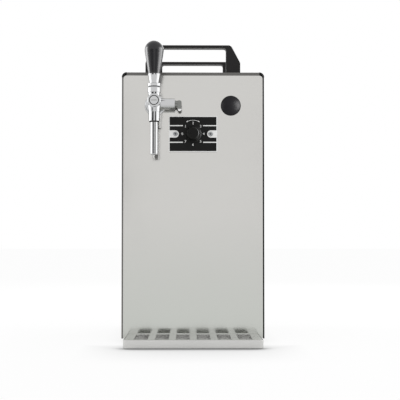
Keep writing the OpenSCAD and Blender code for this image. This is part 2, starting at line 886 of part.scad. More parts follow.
module compensator_lever() {
  hub = stub_l + run;
  wing = hub + hub_l;
  color(chrome) {
    to_right([tap_x + spindle_in, panel_y - comp_t, tap_z]) cylinder(r = spindle_r, h = hub - spindle_in + 1);
    to_right([tap_x + pin_in, panel_y - comp_t, tap_z - pin_off])
      cylinder(r = pin_r, h = spindle_in - pin_in + 1);
    to_right([tap_x + hub, panel_y - comp_t, tap_z]) cylinder(r1 = hub_r, r2 = hub_r - 1, h = hub_l);
    to_front([tap_x, panel_y - comp_t + wing_t / 2, tap_z]) linear_extrude(wing_t) polygon(rounded(
      [[wing - 1, -5], [wing + 2, -wing_down], [wing + wing_l, -wing_down],
        [wing + wing_l, wing_up], [wing + 2, wing_up], [wing - 1, 5]],
      [0, 1.5, 3, 3, 1.5, 0]));
  }
}

module hole_plug() {
  plug_r = 16.9;
  rim = 3;
  rim_z = 0.5;
  meet = 66;
  across = plug_r - rim;
  color(black) to_front([tap_off, panel_y, tap_z]) rotate_extrude() polygon(concat(
    [[0, -sheet - 8], [shank_r - 1, -sheet - 8], [shank_r + 0.9, -sheet - 4],
      [shank_r + 0.9, -sheet - 0.3], [shank_r - 0.2, -sheet - 0.3], [shank_r - 0.2, 0], [plug_r, 0]],
    arc([across, rim_z], rim, 0, meet, 6),
    arc([0, rim_z - across * tan(meet)], rim + across / cos(meet), meet + 3, 90, 7)));
}

// Thermostat
module thermostat_plate() {
  color(black) difference() {
    to_front([0, panel_y, dial_z]) linear_extrude(plate_t) polygon(rounded(
      [[-plate_w / 2, -plate_h / 2], [plate_w / 2, -plate_h / 2],
        [plate_w / 2, plate_h / 2], [-plate_w / 2, plate_h / 2]],
      [1.5, 1.5, 1.5, 1.5], 3));
    to_front([0, panel_y + cut, dial_z]) cylinder(r = bush_r + fit, h = plate_t + 2 * cut);
    for (x = [-dial_screw, dial_screw]) to_front([x, panel_y + cut, dial_z])
      cylinder(r = screw_hole, h = plate_t + 2 * cut);
  }
}

module thermostat_knob() {
  back = plate_t + knob_gap;
  face = back + knob_l;
  grip_foot = knob_r - 1.6;
  color(black) to_front([0, panel_y, dial_z]) difference() {
    rotate_extrude() polygon([
      [0, back], [knob_r, back], [knob_r, back + skirt_l - 0.8], [knob_r - 0.8, back + skirt_l],
      [grip_foot, back + skirt_l], [knob_face, face - 1], [knob_face - 1, face], [0, face]]);
    translate([0, 0, back - cut]) cylinder(r = shaft_r + bearing, h = knob_l - 3 + cut);
    for (a = [0:24:336]) rotate([0, 0, a]) translate([grip_foot + 0.3, 0, back + skirt_l])
      cylinder(r = 1, h = knob_l);
    translate([-knob_face - 2, -0.8, face - 0.7]) cube([knob_face, 1.6, 2]);
  }
}

module thermostat_shaft() {
  color(chrome) to_front([0, panel_y + sheet + 10, dial_z])
    cylinder(r = shaft_r, h = sheet + 10 + plate_t + knob_gap + knob_l - 3.5);
}

module thermostat_body() {
  color(grey) difference() {
    union() {
      box([-thermo_w / 2, inner_front, dial_z - thermo_h / 2],
        [thermo_w / 2, inner_front + thermo_d, dial_z + thermo_h / 2]);
      to_front([0, inner_front + 1, dial_z]) cylinder(r = bush_r, h = sheet + plate_t + 1);
    }
    to_back([0, panel_y - plate_t - cut, dial_z])
      cylinder(r = shaft_r + bearing, h = plate_t + sheet + 12 + cut);
  }
}

module capillary_bulb() {
  rise = foam_high + 8;
  behind = inner_front + thermo_d;
  corner_y = (behind + foam_front) / 2;
  bulb_top = pocket_high - 6;
  color(copper) {
    pipe([
      [0, behind, dial_z], [0, corner_y, dial_z], [0, corner_y, rise], [0, bulb_y, rise],
      [0, bulb_y, bulb_top - 1]
    ], cap_tube_r, 0, 5);
    translate([0, bulb_y, bulb_top - bulb_l]) cylinder(r = bulb_r, h = bulb_l);
  }
}

// Drip tray
module tray_outline(gap) {
  w = tray_w / 2 - gap;
  r = tray_corner > gap + 1 ? tray_corner - gap : 1;
  polygon(rounded(
    [[-w, tray_front + gap], [w, tray_front + gap], [w, tray_back - gap], [-w, tray_back - gap]],
    [r, r, r, r], 5));
}

module drip_tray() {
  color(steel) {
    difference() {
      translate([0, 0, tray_pad]) linear_extrude(tray_h - tray_pad) tray_outline(0);
      translate([0, 0, tray_pad + tray_wall]) linear_extrude(tray_h) tray_outline(tray_wall + ledge);
      translate([0, 0, ledge_z]) linear_extrude(tray_h) tray_outline(tray_wall);
    }
    for (x = [-1, 1]) translate([x * (tray_w / 2 - pad_in), tray_front + pad_in, 0])
      cylinder(r = pad_r, h = tray_pad + tray_wall / 2);
    box([-tongue_w / 2, tray_back - 1, 0], [tongue_w / 2, tray_back + tongue_l, tongue_h]);
  }
}

module drip_grate() {
  middle = (tray_front + tray_back) / 2;
  color(steel) translate([0, 0, ledge_z]) linear_extrude(grate_t) difference() {
    tray_outline(tray_wall + grate_gap);
    for (i = [0:slot_count - 1])
      translate([(i - (slot_count - 1) / 2) * slot_pitch, middle]) polygon(rounded(
        [[-slot_w / 2, -slot_l / 2], [slot_w / 2, -slot_l / 2], [slot_w / 2, slot_l / 2],
          [-slot_w / 2, slot_l / 2]], [2, 2, 2, 2], 3));
  }
}

// Compressor
module compressor() {
  ear = 14;
  plate_x = comp_foot_x + ear;
  plate_y = comp_foot_y + ear;
  color(black) {
    difference() {
      translate([0, comp_y, comp_z]) linear_extrude(comp_plate_t) polygon(rounded(
        [[-plate_x, -plate_y], [plate_x, -plate_y], [plate_x, plate_y], [-plate_x, plate_y]],
        [ear, ear, ear, ear], 4));
      comp_feet_places() translate([0, 0, comp_z - cut])
        cylinder(r = mount_waist + fit, h = comp_plate_t + 2 * cut);
    }
    translate([0, comp_y, comp_z + 1]) difference() {
      rounded_can(comp_r, comp_h, comp_shoulder);
      translate([0, 0, comp_wall])
        rounded_can(comp_r - comp_wall, comp_h - 2 * comp_wall, comp_shoulder - comp_wall);
    }
    translate([0, comp_y, comp_z + comp_h / 2]) cylinder(r = comp_r + seam_out, h = seam_h);
  }
}

module compressor_mounts() {
  plate_top = comp_z + comp_plate_t;
  hole = comp_stud_r + fit;
  color(rubber) comp_feet_places() rotate_extrude() polygon([
    [hole, floor_z], [mount_r, floor_z], [mount_r, comp_z], [mount_waist, comp_z],
    [mount_waist, plate_top], [mount_r - 1, plate_top], [mount_r - 1, plate_top + mount_cap],
    [hole, plate_top + mount_cap]]);
}

module terminal_cover() {
  color(black) difference() {
    box([comp_r - cover_in, comp_y - cover_w / 2, cover_low],
      [comp_r + cover_out, comp_y + cover_w / 2, cover_low + cover_h]);
    translate([0, comp_y, cover_low - cut]) cylinder(r = comp_r + seam_out + fit, h = cover_h + 2 * cut);
  }
}

// Condenser
module fin_outline(low) {
  difference() {
    translate([cond_front, low]) square([cond_d, cond_high - low]);
    for (i = [0:cond_rows - 1]) translate([cond_mid, row_low + i * row_pitch]) circle(cond_tube_r + fit);
  }
}

module fin(x, t, low) {
  translate([x - t / 2, 0, 0]) rotate([90, 0, 90]) linear_extrude(t) fin_outline(low);
}

module condenser_fins() {
  fins = floor((cond_w - 8) / fin_pitch);
  color(aluminium) {
    for (i = [0:fins - 1]) fin((i - (fins - 1) / 2) * fin_pitch, fin_t, cond_low);
    for (x = [-1, 1]) {
      fin(x * cond_w / 2, sheet, floor_z);
      box([x * cond_w / 2 - (x > 0 ? 10 : sheet / 2), cond_front, floor_z],
        [x * cond_w / 2 + (x > 0 ? sheet / 2 : 10), cond_back, floor_z + sheet]);
    }
  }
}

module condenser_tubes() {
  bend_x = cond_w / 2 + 2;
  color(copper) for (i = [0:cond_rows - 1]) {
    z = row_low + i * row_pitch;
    open_end = i == 0 || i == cond_rows - 1;
    straight([open_end ? -tube_end_x : -bend_x, cond_mid, z], [bend_x, cond_mid, z], cond_tube_r, 2.6);
    if (i < cond_rows - 1) {
      side = i % 2 == 0 ? 1 : -1;
      translate([side * bend_x, cond_mid, z + row_pitch / 2]) rotate([90, 0, side > 0 ? 0 : 180])
        rotate([0, 0, -90]) rotate_extrude(angle = 180) translate([row_pitch / 2, 0])
          tube_section(cond_tube_r, 2.6);
    }
  }
}

// Fan
module fan_frame() {
  h = fan_w / 2;
  ring = blade_r + ring_clear;
  color(black) difference() {
    union() {
      difference() {
        box([-h, fan_front, fan_z - h], [h, fan_back, fan_z + h]);
        to_back([0, fan_front - cut, fan_z]) cylinder(r = ring, h = fan_d + 2 * cut, $fn = 72);
      }
      for (a = [45:90:315]) to_back([0, fan_front, fan_z]) rotate([0, 0, a])
        translate([0, -3, 0]) cube([ring + 2, 6, spoke_t]);
      to_back([0, fan_front, fan_z]) cylinder(r = motor_r, h = motor_l);
      for (x = [-1, 1])
        box([x * (h - 12) - 8, fan_front, floor_z], [x * (h - 12) + 8, fan_front + 12, fan_z - h + 1]);
    }
    to_back([0, fan_front + 4, fan_z]) cylinder(r = fan_shaft_r, h = motor_l);
  }
}

module fan_blades() {
  hub_y = fan_front + motor_l + 1;
  chord = 32;
  pitch = 30;
  color(grey) {
    to_back([0, hub_y, fan_z]) cylinder(r = fan_hub_r, h = fan_hub_l);
    to_back([0, fan_front + 6, fan_z]) cylinder(r = fan_shaft_r - bearing, h = motor_l);
    for (i = [0:4]) to_back([0, hub_y + fan_hub_l / 2, fan_z]) rotate([0, 0, 72 * i])
      translate([fan_hub_r - 3, 0, 0]) rotate([pitch, 0, 0])
        translate([0, -chord / 2, -1]) cube([blade_r - fan_hub_r, chord, 2]);
  }
}

// Refrigerant circuit
drier_back = 14;
drier_y = max(fan_front, foam_rear + tail_out) + drier_back;
drier_low = row_low + 15;
drier_l = 52;
drier_r = 9;

module filter_drier() {
  color(copper) translate([-side_x, drier_y, drier_low]) rounded_can(drier_r, drier_l, 6);
}

// How far from the compressor's axis a line at an offset from that axis meets the shell
function shell_reach(offset) = sqrt(comp_r * comp_r - offset * offset) + fit;

module refrigerant_lines() {
  bend = 8;
  out_x = comp_r - 10;
  out_y = comp_y + shell_reach(out_x - line_r);
  discharge_z = comp_z + comp_h - 40;
  run_y = comp_y + comp_foot_y + 16;
  suction_x = coil_x + coil_r;
  suction_end = foam_rear + tail_out;
  drop_x = fan_w / 2 + tube_r + drop_clear;
  drop_y = suction_end + bend + 2;
  suction_y = comp_y + cover_w / 2 + tube_r + drop_clear;
  suction_z = comp_z + comp_h / 2 - 20;
  shell_x = shell_reach(suction_y - comp_y - tube_r);
  thin_x = -side_x - 10;
  thin_z = drier_low + drier_l + 10;
  color(copper) {
    pipe([
      [-out_x, out_y, discharge_z], [-out_x, run_y, discharge_z], [-side_x, run_y, discharge_z],
      [-side_x, run_y, row_high], [-side_x, cond_mid, row_high], [-tube_end_x, cond_mid, row_high]
    ], line_r, 2, bend);
    pipe([
      [-tube_end_x, cond_mid, row_low], [-side_x, cond_mid, row_low], [-side_x, drier_y, row_low],
      [-side_x, drier_y, drier_low]
    ], line_r, 2, bend);
    pipe([
      [-side_x, drier_y, drier_low + drier_l], [-side_x, drier_y, thin_z], [thin_x, drier_y, thin_z],
      [thin_x, drier_y, evap_low], [tap_x, drier_y, evap_low], [tap_x, foam_rear + tail_out, evap_low]
    ], cap_tube_r, 0, 4);
    pipe([
      [suction_x, suction_end, evap_high], [suction_x, drop_y, evap_high], [drop_x, drop_y, evap_high],
      [drop_x, drop_y, suction_z], [drop_x, suction_y, suction_z], [shell_x, suction_y, suction_z]
    ], tube_r, 3, bend);
  }
}

// Cooling block
module cooling_drum() {
  color(aluminium) difference() {
    translate([coil_x, coil_y, pocket_low]) cylinder(r = drum_r, h = pocket_high - pocket_low - 1);
    translate([coil_x, coil_y, pocket_low + 6]) cylinder(r = drum_bore, h = pocket_high);
    translate([0, bulb_y, pocket_high - 6 - bulb_l - 1]) cylinder(r = bulb_r + fit, h = pocket_high);
  }
}

// Middle line of a coil that starts and ends in a straight tail
function coil_path(low, turns, first, last) = concat(
  [first, first + unit([coil_x - coil_r, coil_y, low] - first) * 2 * tube_r],
  [for (i = [0:turns * coil_rings]) let (a = 180 + 360 * i / coil_rings)
    [coil_x + coil_r * cos(a), coil_y + coil_r * sin(a), low + coil_pitch * i / coil_rings]],
  [last - unit(last - [last[0], coil_y, last[2]]) * 2 * tube_r, last]);

// Six-sided rings across a path, each square to the path at its point
function path_rings(path) = [for (i = [0:len(path) - 1])
  let (
    n = unit(path[min(i + 1, len(path) - 1)] - path[max(i - 1, 0)]),
    u = unit(cross([0, 0, 1], n)),
    v = cross(n, u)
  ) each [for (k = [0:coil_sides - 1]) let (a = 360 * k / coil_sides)
    path[i] + tube_r * (cos(a) * u + sin(a) * v)]];

// Least gap between stretches of a coil that lie more than half a turn apart
function coil_gap(path) = min([for (i = [0:len(path) - 1]) for (j = [i + coil_rings / 2:len(path) - 1])
  norm(path[i] - path[j])]) - 2 * tube_r;

module tube_along(path) {
  points = path_rings(path);
  rings = len(path);
  m = coil_sides;
  sides = [for (i = [0:rings - 2]) for (k = [0:m - 1]) let (k2 = (k + 1) % m)
    each [[i * m + k, (i + 1) * m + k, (i + 1) * m + k2], [i * m + k, (i + 1) * m + k2, i * m + k2]]];
  first_end = [for (k = [1:m - 2]) [0, k, k + 1]];
  last_end = [for (k = [1:m - 2]) [0, k + 1, k] + (rings - 1) * m * [1, 1, 1]];
  polyhedron(points, concat(sides, first_end, last_end), convexity = 10);
}

beer_path = coil_path(coil_low, beer_turns,
  [tap_x, foam_rear + tail_out, coil_low], [tap_x, shank_end + run, tap_z]);
evap_path = coil_path(evap_low, evap_turns,
  [tap_x, foam_rear + tail_out, evap_low], [coil_x + coil_r, foam_rear + tail_out, evap_high]);

module beer_coil() {
  echo(beer_coil_least_gap = coil_gap(beer_path));
  color(steel) tube_along(beer_path);
}

module evaporator_coil() {
  echo(evaporator_coil_least_gap = coil_gap(evap_path));
  color(copper) tube_along(evap_path);
}

module insulation_shell() {
  color(foam) difference() {
    box([coil_x - foam_half, foam_front, foam_low], [coil_x + foam_half, foam_rear, pocket_high]);
    translate([coil_x, coil_y, pocket_low]) cylinder(r = foam_half - foam_t, h = pocket_high);
    to_front([tap_x, coil_y, tap_z]) cylinder(r = tail_hole, h = 2 * foam_half);
    for (p = [[tap_x, coil_low], [tap_x, evap_low], [coil_x + coil_r, evap_high]])
      to_back([p[0], coil_y, p[1]]) cylinder(r = tail_hole, h = 2 * foam_half);
  }
}

module insulation_lid() {
  color(foam) difference() {
    box([coil_x - foam_half, foam_front, pocket_high], [coil_x + foam_half, foam_rear, foam_high]);
    translate([0, bulb_y, pocket_high - cut]) cylinder(r = cap_tube_r + fit, h = foam_t + 2 * cut);
  }
}

// Beer way
module beer_line() {
  start = foam_rear + tail_out - 1;
  sleeve = 9;
  color(steel) to_back([tap_x, 0, coil_low]) rotate_extrude() polygon([
    [tube_r + fit, start], [tube_r + 1.4, start], [tube_r + 1.4, start + sleeve], [tube_r, start + sleeve],
    [tube_r, inner_rear - fitting_tail], [tube_r - 1, inner_rear - fitting_tail],
    [tube_r - 1, start + 1.5], [tube_r + fit, start + 1.5]]);
}

module beer_union() {
  front = shank_end - 9;
  rear = shank_end + 7;
  color(chrome) to_back([tap_x, front, tap_z]) difference() {
    cylinder(r = shank_r + 5, h = rear - front, $fn = 6);
    translate([0, 0, -cut]) cylinder(r = shank_r + fit, h = shank_end - front + cut);
    cylinder(r = tube_r + fit, h = rear - front + cut);
  }
}

// Air pump
pump_z = floor_z + pump_foot;
nipple_z = pump_z + pump_h / 2;
nipple_y = pump_y + pump_d / 2;

module air_pump() {
  color(grey) {
    translate([-pump_w / 2, pump_y, pump_z]) linear_extrude(pump_h) polygon(rounded(
      [[0, 0], [pump_w, 0], [pump_w, pump_d], [0, pump_d]], [10, 10, 10, 10], 5));
    for (x = [-1, 1]) for (y = [12, pump_d - 12])
      translate([x * (pump_w / 2 - 14), pump_y + y, floor_z]) cylinder(r1 = 7, r2 = 5, h = pump_foot + 1);
    to_right([pump_w / 2 - 1, nipple_y, nipple_z]) cylinder(r = nipple_r, h = nipple_l);
  }
}

module air_hose() {
  rise_y = fan_front + 12;
  color(rubber) pipe([
    [pump_w / 2 + 1, nipple_y, nipple_z], [side_x, nipple_y, nipple_z], [side_x, rise_y, nipple_z],
    [side_x, rise_y, fitting_z], [tap_off, rise_y, fitting_z], [tap_off, inner_rear - fitting_tail, fitting_z]
  ], hose_r, nipple_r + fit, 14);
}

// Rear fittings
module power_inlet() {
  flange = 5;
  wall = 2;
  color(black) {
    difference() {
      union() {
        box([inlet_x - inlet_w / 2, rear_y - inlet_d, electric_z - inlet_h / 2],
          [inlet_x + inlet_w / 2, rear_y, electric_z + inlet_h / 2]);
        box([inlet_x - inlet_w / 2 - flange, rear_y, electric_z - inlet_h / 2 - flange],
          [inlet_x + inlet_w / 2 + flange, rear_y + 3, electric_z + inlet_h / 2 + flange]);
      }
      box([inlet_x - inlet_w / 2 + wall, rear_y - inlet_d + 5, electric_z - inlet_h / 2 + wall],
        [inlet_x + inlet_w / 2 - wall, rear_y + 3 + cut, electric_z + inlet_h / 2 - wall]);
    }
    for (p = [[-7, -2], [7, -2], [0, 2]])
      box([inlet_x + p[0] - 1, rear_y - inlet_d + 4, electric_z + p[1] - 2],
        [inlet_x + p[0] + 1, rear_y - 2, electric_z + p[1] + 2]);
  }
}

pivot_y = rear_y - 1;
pivot_r = 1.5;

module switch_housings() {
  room_x = rocker_w / 2 + run;
  room_z = rocker_room;
  rim_x = room_x + rocker_wall + switch_rim;
  rim_z = room_z + rocker_wall + switch_rim;
  color(black) for (x = switch_places) difference() {
    union() {
      box([x - room_x - rocker_wall, rear_y - switch_d, electric_z - room_z - rocker_wall],
        [x + room_x + rocker_wall, rear_y, electric_z + room_z + rocker_wall]);
      box([x - rim_x, rear_y, electric_z - rim_z], [x + rim_x, rear_y + switch_rim, electric_z + rim_z]);
    }
    box([x - room_x, rear_y - switch_d + switch_floor, electric_z - room_z],
      [x + room_x, rear_y + switch_rim + cut, electric_z + room_z]);
    to_right([x - room_x - rocker_wall / 2, pivot_y, electric_z])
      cylinder(r = pivot_r + bearing, h = 2 * room_x + rocker_wall);
  }
}

module rocker(x) {
  pin_l = rocker_w + 2 * run + rocker_wall - 0.6;
  translate([x, pivot_y, electric_z]) rotate([-rocker_tilt, 0, 0]) {
    translate([-rocker_w / 2, 0, 0]) rotate([90, 0, 90]) linear_extrude(rocker_w) polygon([
      [-4, -4], [-4, 4], [0, rocker_h / 2], [rocker_d, rocker_h / 2], [rocker_d - 1.2, 0],
      [rocker_d, -rocker_h / 2], [0, -rocker_h / 2]]);
    to_right([-pin_l / 2, 0, 0]) cylinder(r = pivot_r, h = pin_l);
  }
}

module power_rocker() {
  color([0.12, 0.45, 0.18]) rocker(switch_places[0]);
}

module pump_rocker() {
  color(black) rocker(switch_places[1]);
}

// Push-in tube fittings: the collet slides in the body's mouth
collet_r = collet_bore + 1.5;
collet_flange = 2;
mouth_r = collet_r + run;
mouth_l = 14;
body_out = rear_reach - collet_flange - collet_travel - run;

module push_fittings() {
  ring_t = 4;
  color(grey) for (x = [-tap_off, tap_off]) to_back([x, rear_y, fitting_z]) rotate_extrude() polygon([
    [tube_r - 1, -sheet - fitting_tail + 2], [tube_r + fit, -sheet - fitting_tail + 2],
    [tube_r + fit, -sheet - fitting_tail], [fitting_r - 1, -sheet - fitting_tail], [fitting_r, -sheet - 4],
    [fitting_r, 0], [fitting_r + 3.5, 0], [fitting_r + 3.5, ring_t], [fitting_r + 0.5, ring_t],
    [fitting_r + 0.5, body_out], [mouth_r, body_out], [mouth_r, body_out - mouth_l],
    [tube_r - 1, body_out - mouth_l]]);
}

module collet(x) {
  back = body_out - mouth_l + collet_travel + 1;
  to_back([x, rear_y, fitting_z]) rotate_extrude() polygon([
    [collet_bore, back], [collet_r, back], [collet_r, rear_reach - collet_flange],
    [fitting_r - 0.5, rear_reach - collet_flange], [fitting_r - 0.5, rear_reach - 0.5],
    [fitting_r - 1, rear_reach], [collet_bore, rear_reach]]);
}

module beer_collet() {
  color([0.15, 0.35, 0.65]) collet(-tap_off);
}

module air_collet() {
  color([0.55, 0.55, 0.56]) collet(tap_off);
}

base_pan();
mid_shelf();
front_panel();
rear_panel();
side_panel_left();
side_panel_right();
top_panel();
corner_profile_left();
corner_profile_right();
carry_handle_front();
carry_handle_rear();
case_screws();
rubber_feet();
tap_rosette();
tap_shank();
shank_nut();
tap_body();
tap_spout();
tap_front_cap();
lever_nut();
pivot_seal();
tap_lever();
tap_handle();
valve_piston();
compensator_cone();
compensator_lever();
hole_plug();
thermostat_plate();
thermostat_knob();
thermostat_shaft();
thermostat_body();
capillary_bulb();
drip_tray();
drip_grate();
compressor();
compressor_mounts();
terminal_cover();
condenser_fins();
condenser_tubes();
fan_frame();
fan_blades();
filter_drier();
cooling_drum();
beer_coil();
evaporator_coil();
insulation_shell();
insulation_lid();
refrigerant_lines();
beer_line();
beer_union();
air_pump();
air_hose();
power_inlet();
switch_housings();
power_rocker();
pump_rocker();
push_fittings();
beer_collet();
air_collet();
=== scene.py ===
import math

import bmesh
import bpy
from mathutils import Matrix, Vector


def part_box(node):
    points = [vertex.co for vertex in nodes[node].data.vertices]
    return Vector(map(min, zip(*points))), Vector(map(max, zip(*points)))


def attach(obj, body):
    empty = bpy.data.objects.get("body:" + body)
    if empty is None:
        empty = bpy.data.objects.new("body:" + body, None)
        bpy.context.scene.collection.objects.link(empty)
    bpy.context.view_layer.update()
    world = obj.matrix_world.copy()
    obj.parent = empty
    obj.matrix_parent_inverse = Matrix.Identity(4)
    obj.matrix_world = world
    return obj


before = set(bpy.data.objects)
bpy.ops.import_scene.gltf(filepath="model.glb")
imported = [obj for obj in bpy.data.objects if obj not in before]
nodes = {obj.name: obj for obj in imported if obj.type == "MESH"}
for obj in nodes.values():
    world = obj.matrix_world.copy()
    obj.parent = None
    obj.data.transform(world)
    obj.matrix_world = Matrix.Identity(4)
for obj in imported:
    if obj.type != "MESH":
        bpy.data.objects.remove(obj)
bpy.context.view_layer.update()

MM = 0.001

# Places taken from the frame
PANEL_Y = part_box("front_panel")[0].y
REAR_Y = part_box("rear_panel")[1].y
PLATE_LOW, PLATE_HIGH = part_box("thermostat_plate")
DIAL = (PLATE_LOW + PLATE_HIGH) / 2
PLATE_Y = PLATE_LOW.y


# Camera

# The photograph's camera stands in front of the case, a little below its middle, and looks slightly
# up and to the right: its angles are in degrees
CAMERA_X = -7 * MM
CAMERA_Z = 165 * MM
CAMERA_AHEAD = 1716 * MM
CAMERA_UP = 1.776
CAMERA_TURN = -0.625
SENSOR = 36
LENS = 92.12
SHIFT_Y = 0.0289


def make_camera():
    data = bpy.data.cameras.new("camera")
    data.sensor_width = SENSOR
    data.lens = LENS
    data.shift_y = SHIFT_Y
    camera = bpy.data.objects.new("camera", data)
    camera.location = (CAMERA_X, PANEL_Y - CAMERA_AHEAD, CAMERA_Z)
    camera.rotation_euler = (math.radians(90 + CAMERA_UP), 0, math.radians(CAMERA_TURN))
    bpy.context.scene.collection.objects.link(camera)
    bpy.context.scene.camera = camera


# Shader helpers

# The span that noise values mostly fill
NOISE_LOW, NOISE_HIGH = 0.3, 0.7
# How well the rounded normal and the true one agree where an edge starts and where it is full
EDGE_START, EDGE_FULL = 0.98, 0.8
EDGE_BAND = 1.2 * MM
BEVEL_SAMPLES = 4
BROAD_GRAIN = 14.0
BROAD_DETAIL = 2.0
RELIEF = 0.5


def add(tree, kind, **inputs):
    """A shader node whose named inputs hold the given values."""
    node = tree.nodes.new(kind)
    for name, value in inputs.items():
        node.inputs[name.replace("_", " ")].default_value = value
    return node


def noise(tree, per_metre, stretch=(1, 1, 1), detail=3.0):
    """Noise over the piece's own metres, with so many features in a metre along each axis."""
    place = tree.nodes.new("ShaderNodeTexCoord")
    scaled = tree.nodes.new("ShaderNodeMapping")
    scaled.inputs["Scale"].default_value = [per_metre * s for s in stretch]
    cloud = add(tree, "ShaderNodeTexNoise", Scale=1.0, Detail=detail)
    tree.links.new(place.outputs["Object"], scaled.inputs["Vector"])
    tree.links.new(scaled.outputs["Vector"], cloud.inputs["Vector"])
    return cloud.outputs["Fac"]


def ranged(tree, value, low, high):
    """A noise value brought to a range."""
    node = add(tree, "ShaderNodeMapRange", From_Min=NOISE_LOW, From_Max=NOISE_HIGH,
               To_Min=low, To_Max=high)
    tree.links.new(value, node.inputs["Value"])
    return node.outputs["Result"]


def mixed(tree, factor, first, second):
    """A colour between two colours, or between a colour and a socket."""
    node = tree.nodes.new("ShaderNodeMix")
    node.data_type = "RGBA"
    tree.links.new(factor, node.inputs["Factor"])
    for name, colour in (("A", first), ("B", second)):
        socket = next(s for s in node.inputs if s.name == name and s.type == "RGBA")
        if isinstance(colour, bpy.types.NodeSocket):
            tree.links.new(colour, socket)
        else:
            socket.default_value = (*colour, 1)
    return next(s for s in node.outputs if s.type == "RGBA")


def along(tree, output, axis, start, stop, low=0.0, high=1.0):
    """A value that goes from low to high while an output goes from start to stop on an axis.

    The output is Position or Normal of the surface, or Object for the place on a piece that moves."""
    surface = tree.nodes.new("ShaderNodeTexCoord" if output == "Object" else "ShaderNodeNewGeometry")
    parts = tree.nodes.new("ShaderNodeSeparateXYZ")
    tree.links.new(surface.outputs[output], parts.inputs[0])
    node = add(tree, "ShaderNodeMapRange", From_Min=start, From_Max=stop, To_Min=low, To_Max=high)
    tree.links.new(parts.outputs[axis], node.inputs["Value"])
    return node.outputs["Result"]


def combined(tree, operation, first, *others):
    """Some values, sockets or numbers, put together by one operation."""
    for other in others:
        node = tree.nodes.new("ShaderNodeMath")
        node.operation = operation
        for socket, value in zip(node.inputs, (first, other)):
            if isinstance(value, bpy.types.NodeSocket):
                tree.links.new(value, socket)
            else:
                socket.default_value = value
        first = node.outputs[0]
    return first


def tint(material, factor, colour):
    """Mixes a colour into a finish by a factor's socket."""
    tree = material.node_tree
    base = tree.nodes["Principled BSDF"].inputs["Base Color"]
    tree.links.new(mixed(tree, factor, base.links[0].from_socket, colour), base)


def scaled_colour(colour, factor):
    return tuple(min(1.0, c * factor) for c in colour)


def edge_mask(tree, radius):
    """One along edges, and zero on flat faces, from how far rounded edges turn the surface."""
    bevel = add(tree, "ShaderNodeBevel", Radius=radius)
    bevel.samples = BEVEL_SAMPLES
    surface = tree.nodes.new("ShaderNodeNewGeometry")
    facing = tree.nodes.new("ShaderNodeVectorMath")
    facing.operation = "DOT_PRODUCT"
    tree.links.new(bevel.outputs["Normal"], facing.inputs[0])
    tree.links.new(surface.outputs["Normal"], facing.inputs[1])
    mask = add(tree, "ShaderNodeMapRange", From_Min=EDGE_START, From_Max=EDGE_FULL,
               To_Min=0.0, To_Max=1.0)
    tree.links.new(facing.outputs["Value"], mask.inputs["Value"])
    return mask.outputs["Result"]


def finish(name, colour, roughness, grain, metallic=0.0, stretch=(1, 1, 1), contrast=0.06, bump=0.02,
           edges=None, rounding=None, **sockets):
    """A procedural finish: colour and roughness drift with fine and broad grain.

    roughness is a range, grain the fine features in a metre, and edges a lighter colour shown along
    edges as a painted highlight. In millimetres, bump is the grain's height and rounding the radius of
    softened edges."""
    material = bpy.data.materials.new(name)
    material.use_nodes = True
    tree = material.node_tree
    shader = tree.nodes["Principled BSDF"]
    shader.inputs["Metallic"].default_value = metallic
    for socket, value in sockets.items():
        shader.inputs[socket.replace("_", " ")].default_value = value
    fine = noise(tree, grain, stretch)
    broad = noise(tree, BROAD_GRAIN, detail=BROAD_DETAIL)
    surface = mixed(tree, ranged(tree, fine, 0.0, 1.0), scaled_colour(colour, 1 - contrast),
                    scaled_colour(colour, 1 + contrast))
    # A painted highlight along the edges
    if edges:
        surface = mixed(tree, edge_mask(tree, EDGE_BAND), surface, edges)
    tree.links.new(surface, shader.inputs["Base Color"])
    tree.links.new(ranged(tree, broad, *roughness), shader.inputs["Roughness"])
    relief = add(tree, "ShaderNodeBump", Strength=RELIEF, Distance=bump * MM)
    tree.links.new(fine, relief.inputs["Height"])
    if rounding:
        bevel = add(tree, "ShaderNodeBevel", Radius=rounding * MM)
        bevel.samples = BEVEL_SAMPLES
        tree.links.new(bevel.outputs["Normal"], relief.inputs["Normal"])
    tree.links.new(relief.outputs["Normal"], shader.inputs["Normal"])
    return material


# Finishes

# Stretches of the grain for steel brushed along an axis
ALONG_X = (0.02, 1, 1)
ALONG_Y = (1, 0.02, 1)
ALONG_Z = (1, 1, 0.02)

# What several finishes share
SHEET = dict(grain=2600, metallic=1.0)
CASE_SHEET = dict(SHEET, colour=(0.58, 0.575, 0.560), roughness=(0.22, 0.30), contrast=0.05, bump=0.0008)
TRAY_SHEET = dict(SHEET, colour=(0.62, 0.618, 0.605), roughness=(0.20, 0.28), stretch=ALONG_X,
                  contrast=0.05, bump=0.002)
CHROME_PLATE = dict(colour=(0.56, 0.565, 0.57), roughness=(0.03, 0.07), grain=500, metallic=1.0,
                    contrast=0.01, bump=0.0003, rounding=0.35)
DULL_CHROME = dict(roughness=(0.16, 0.26), grain=700, metallic=1.0, contrast=0.04, bump=0.001)

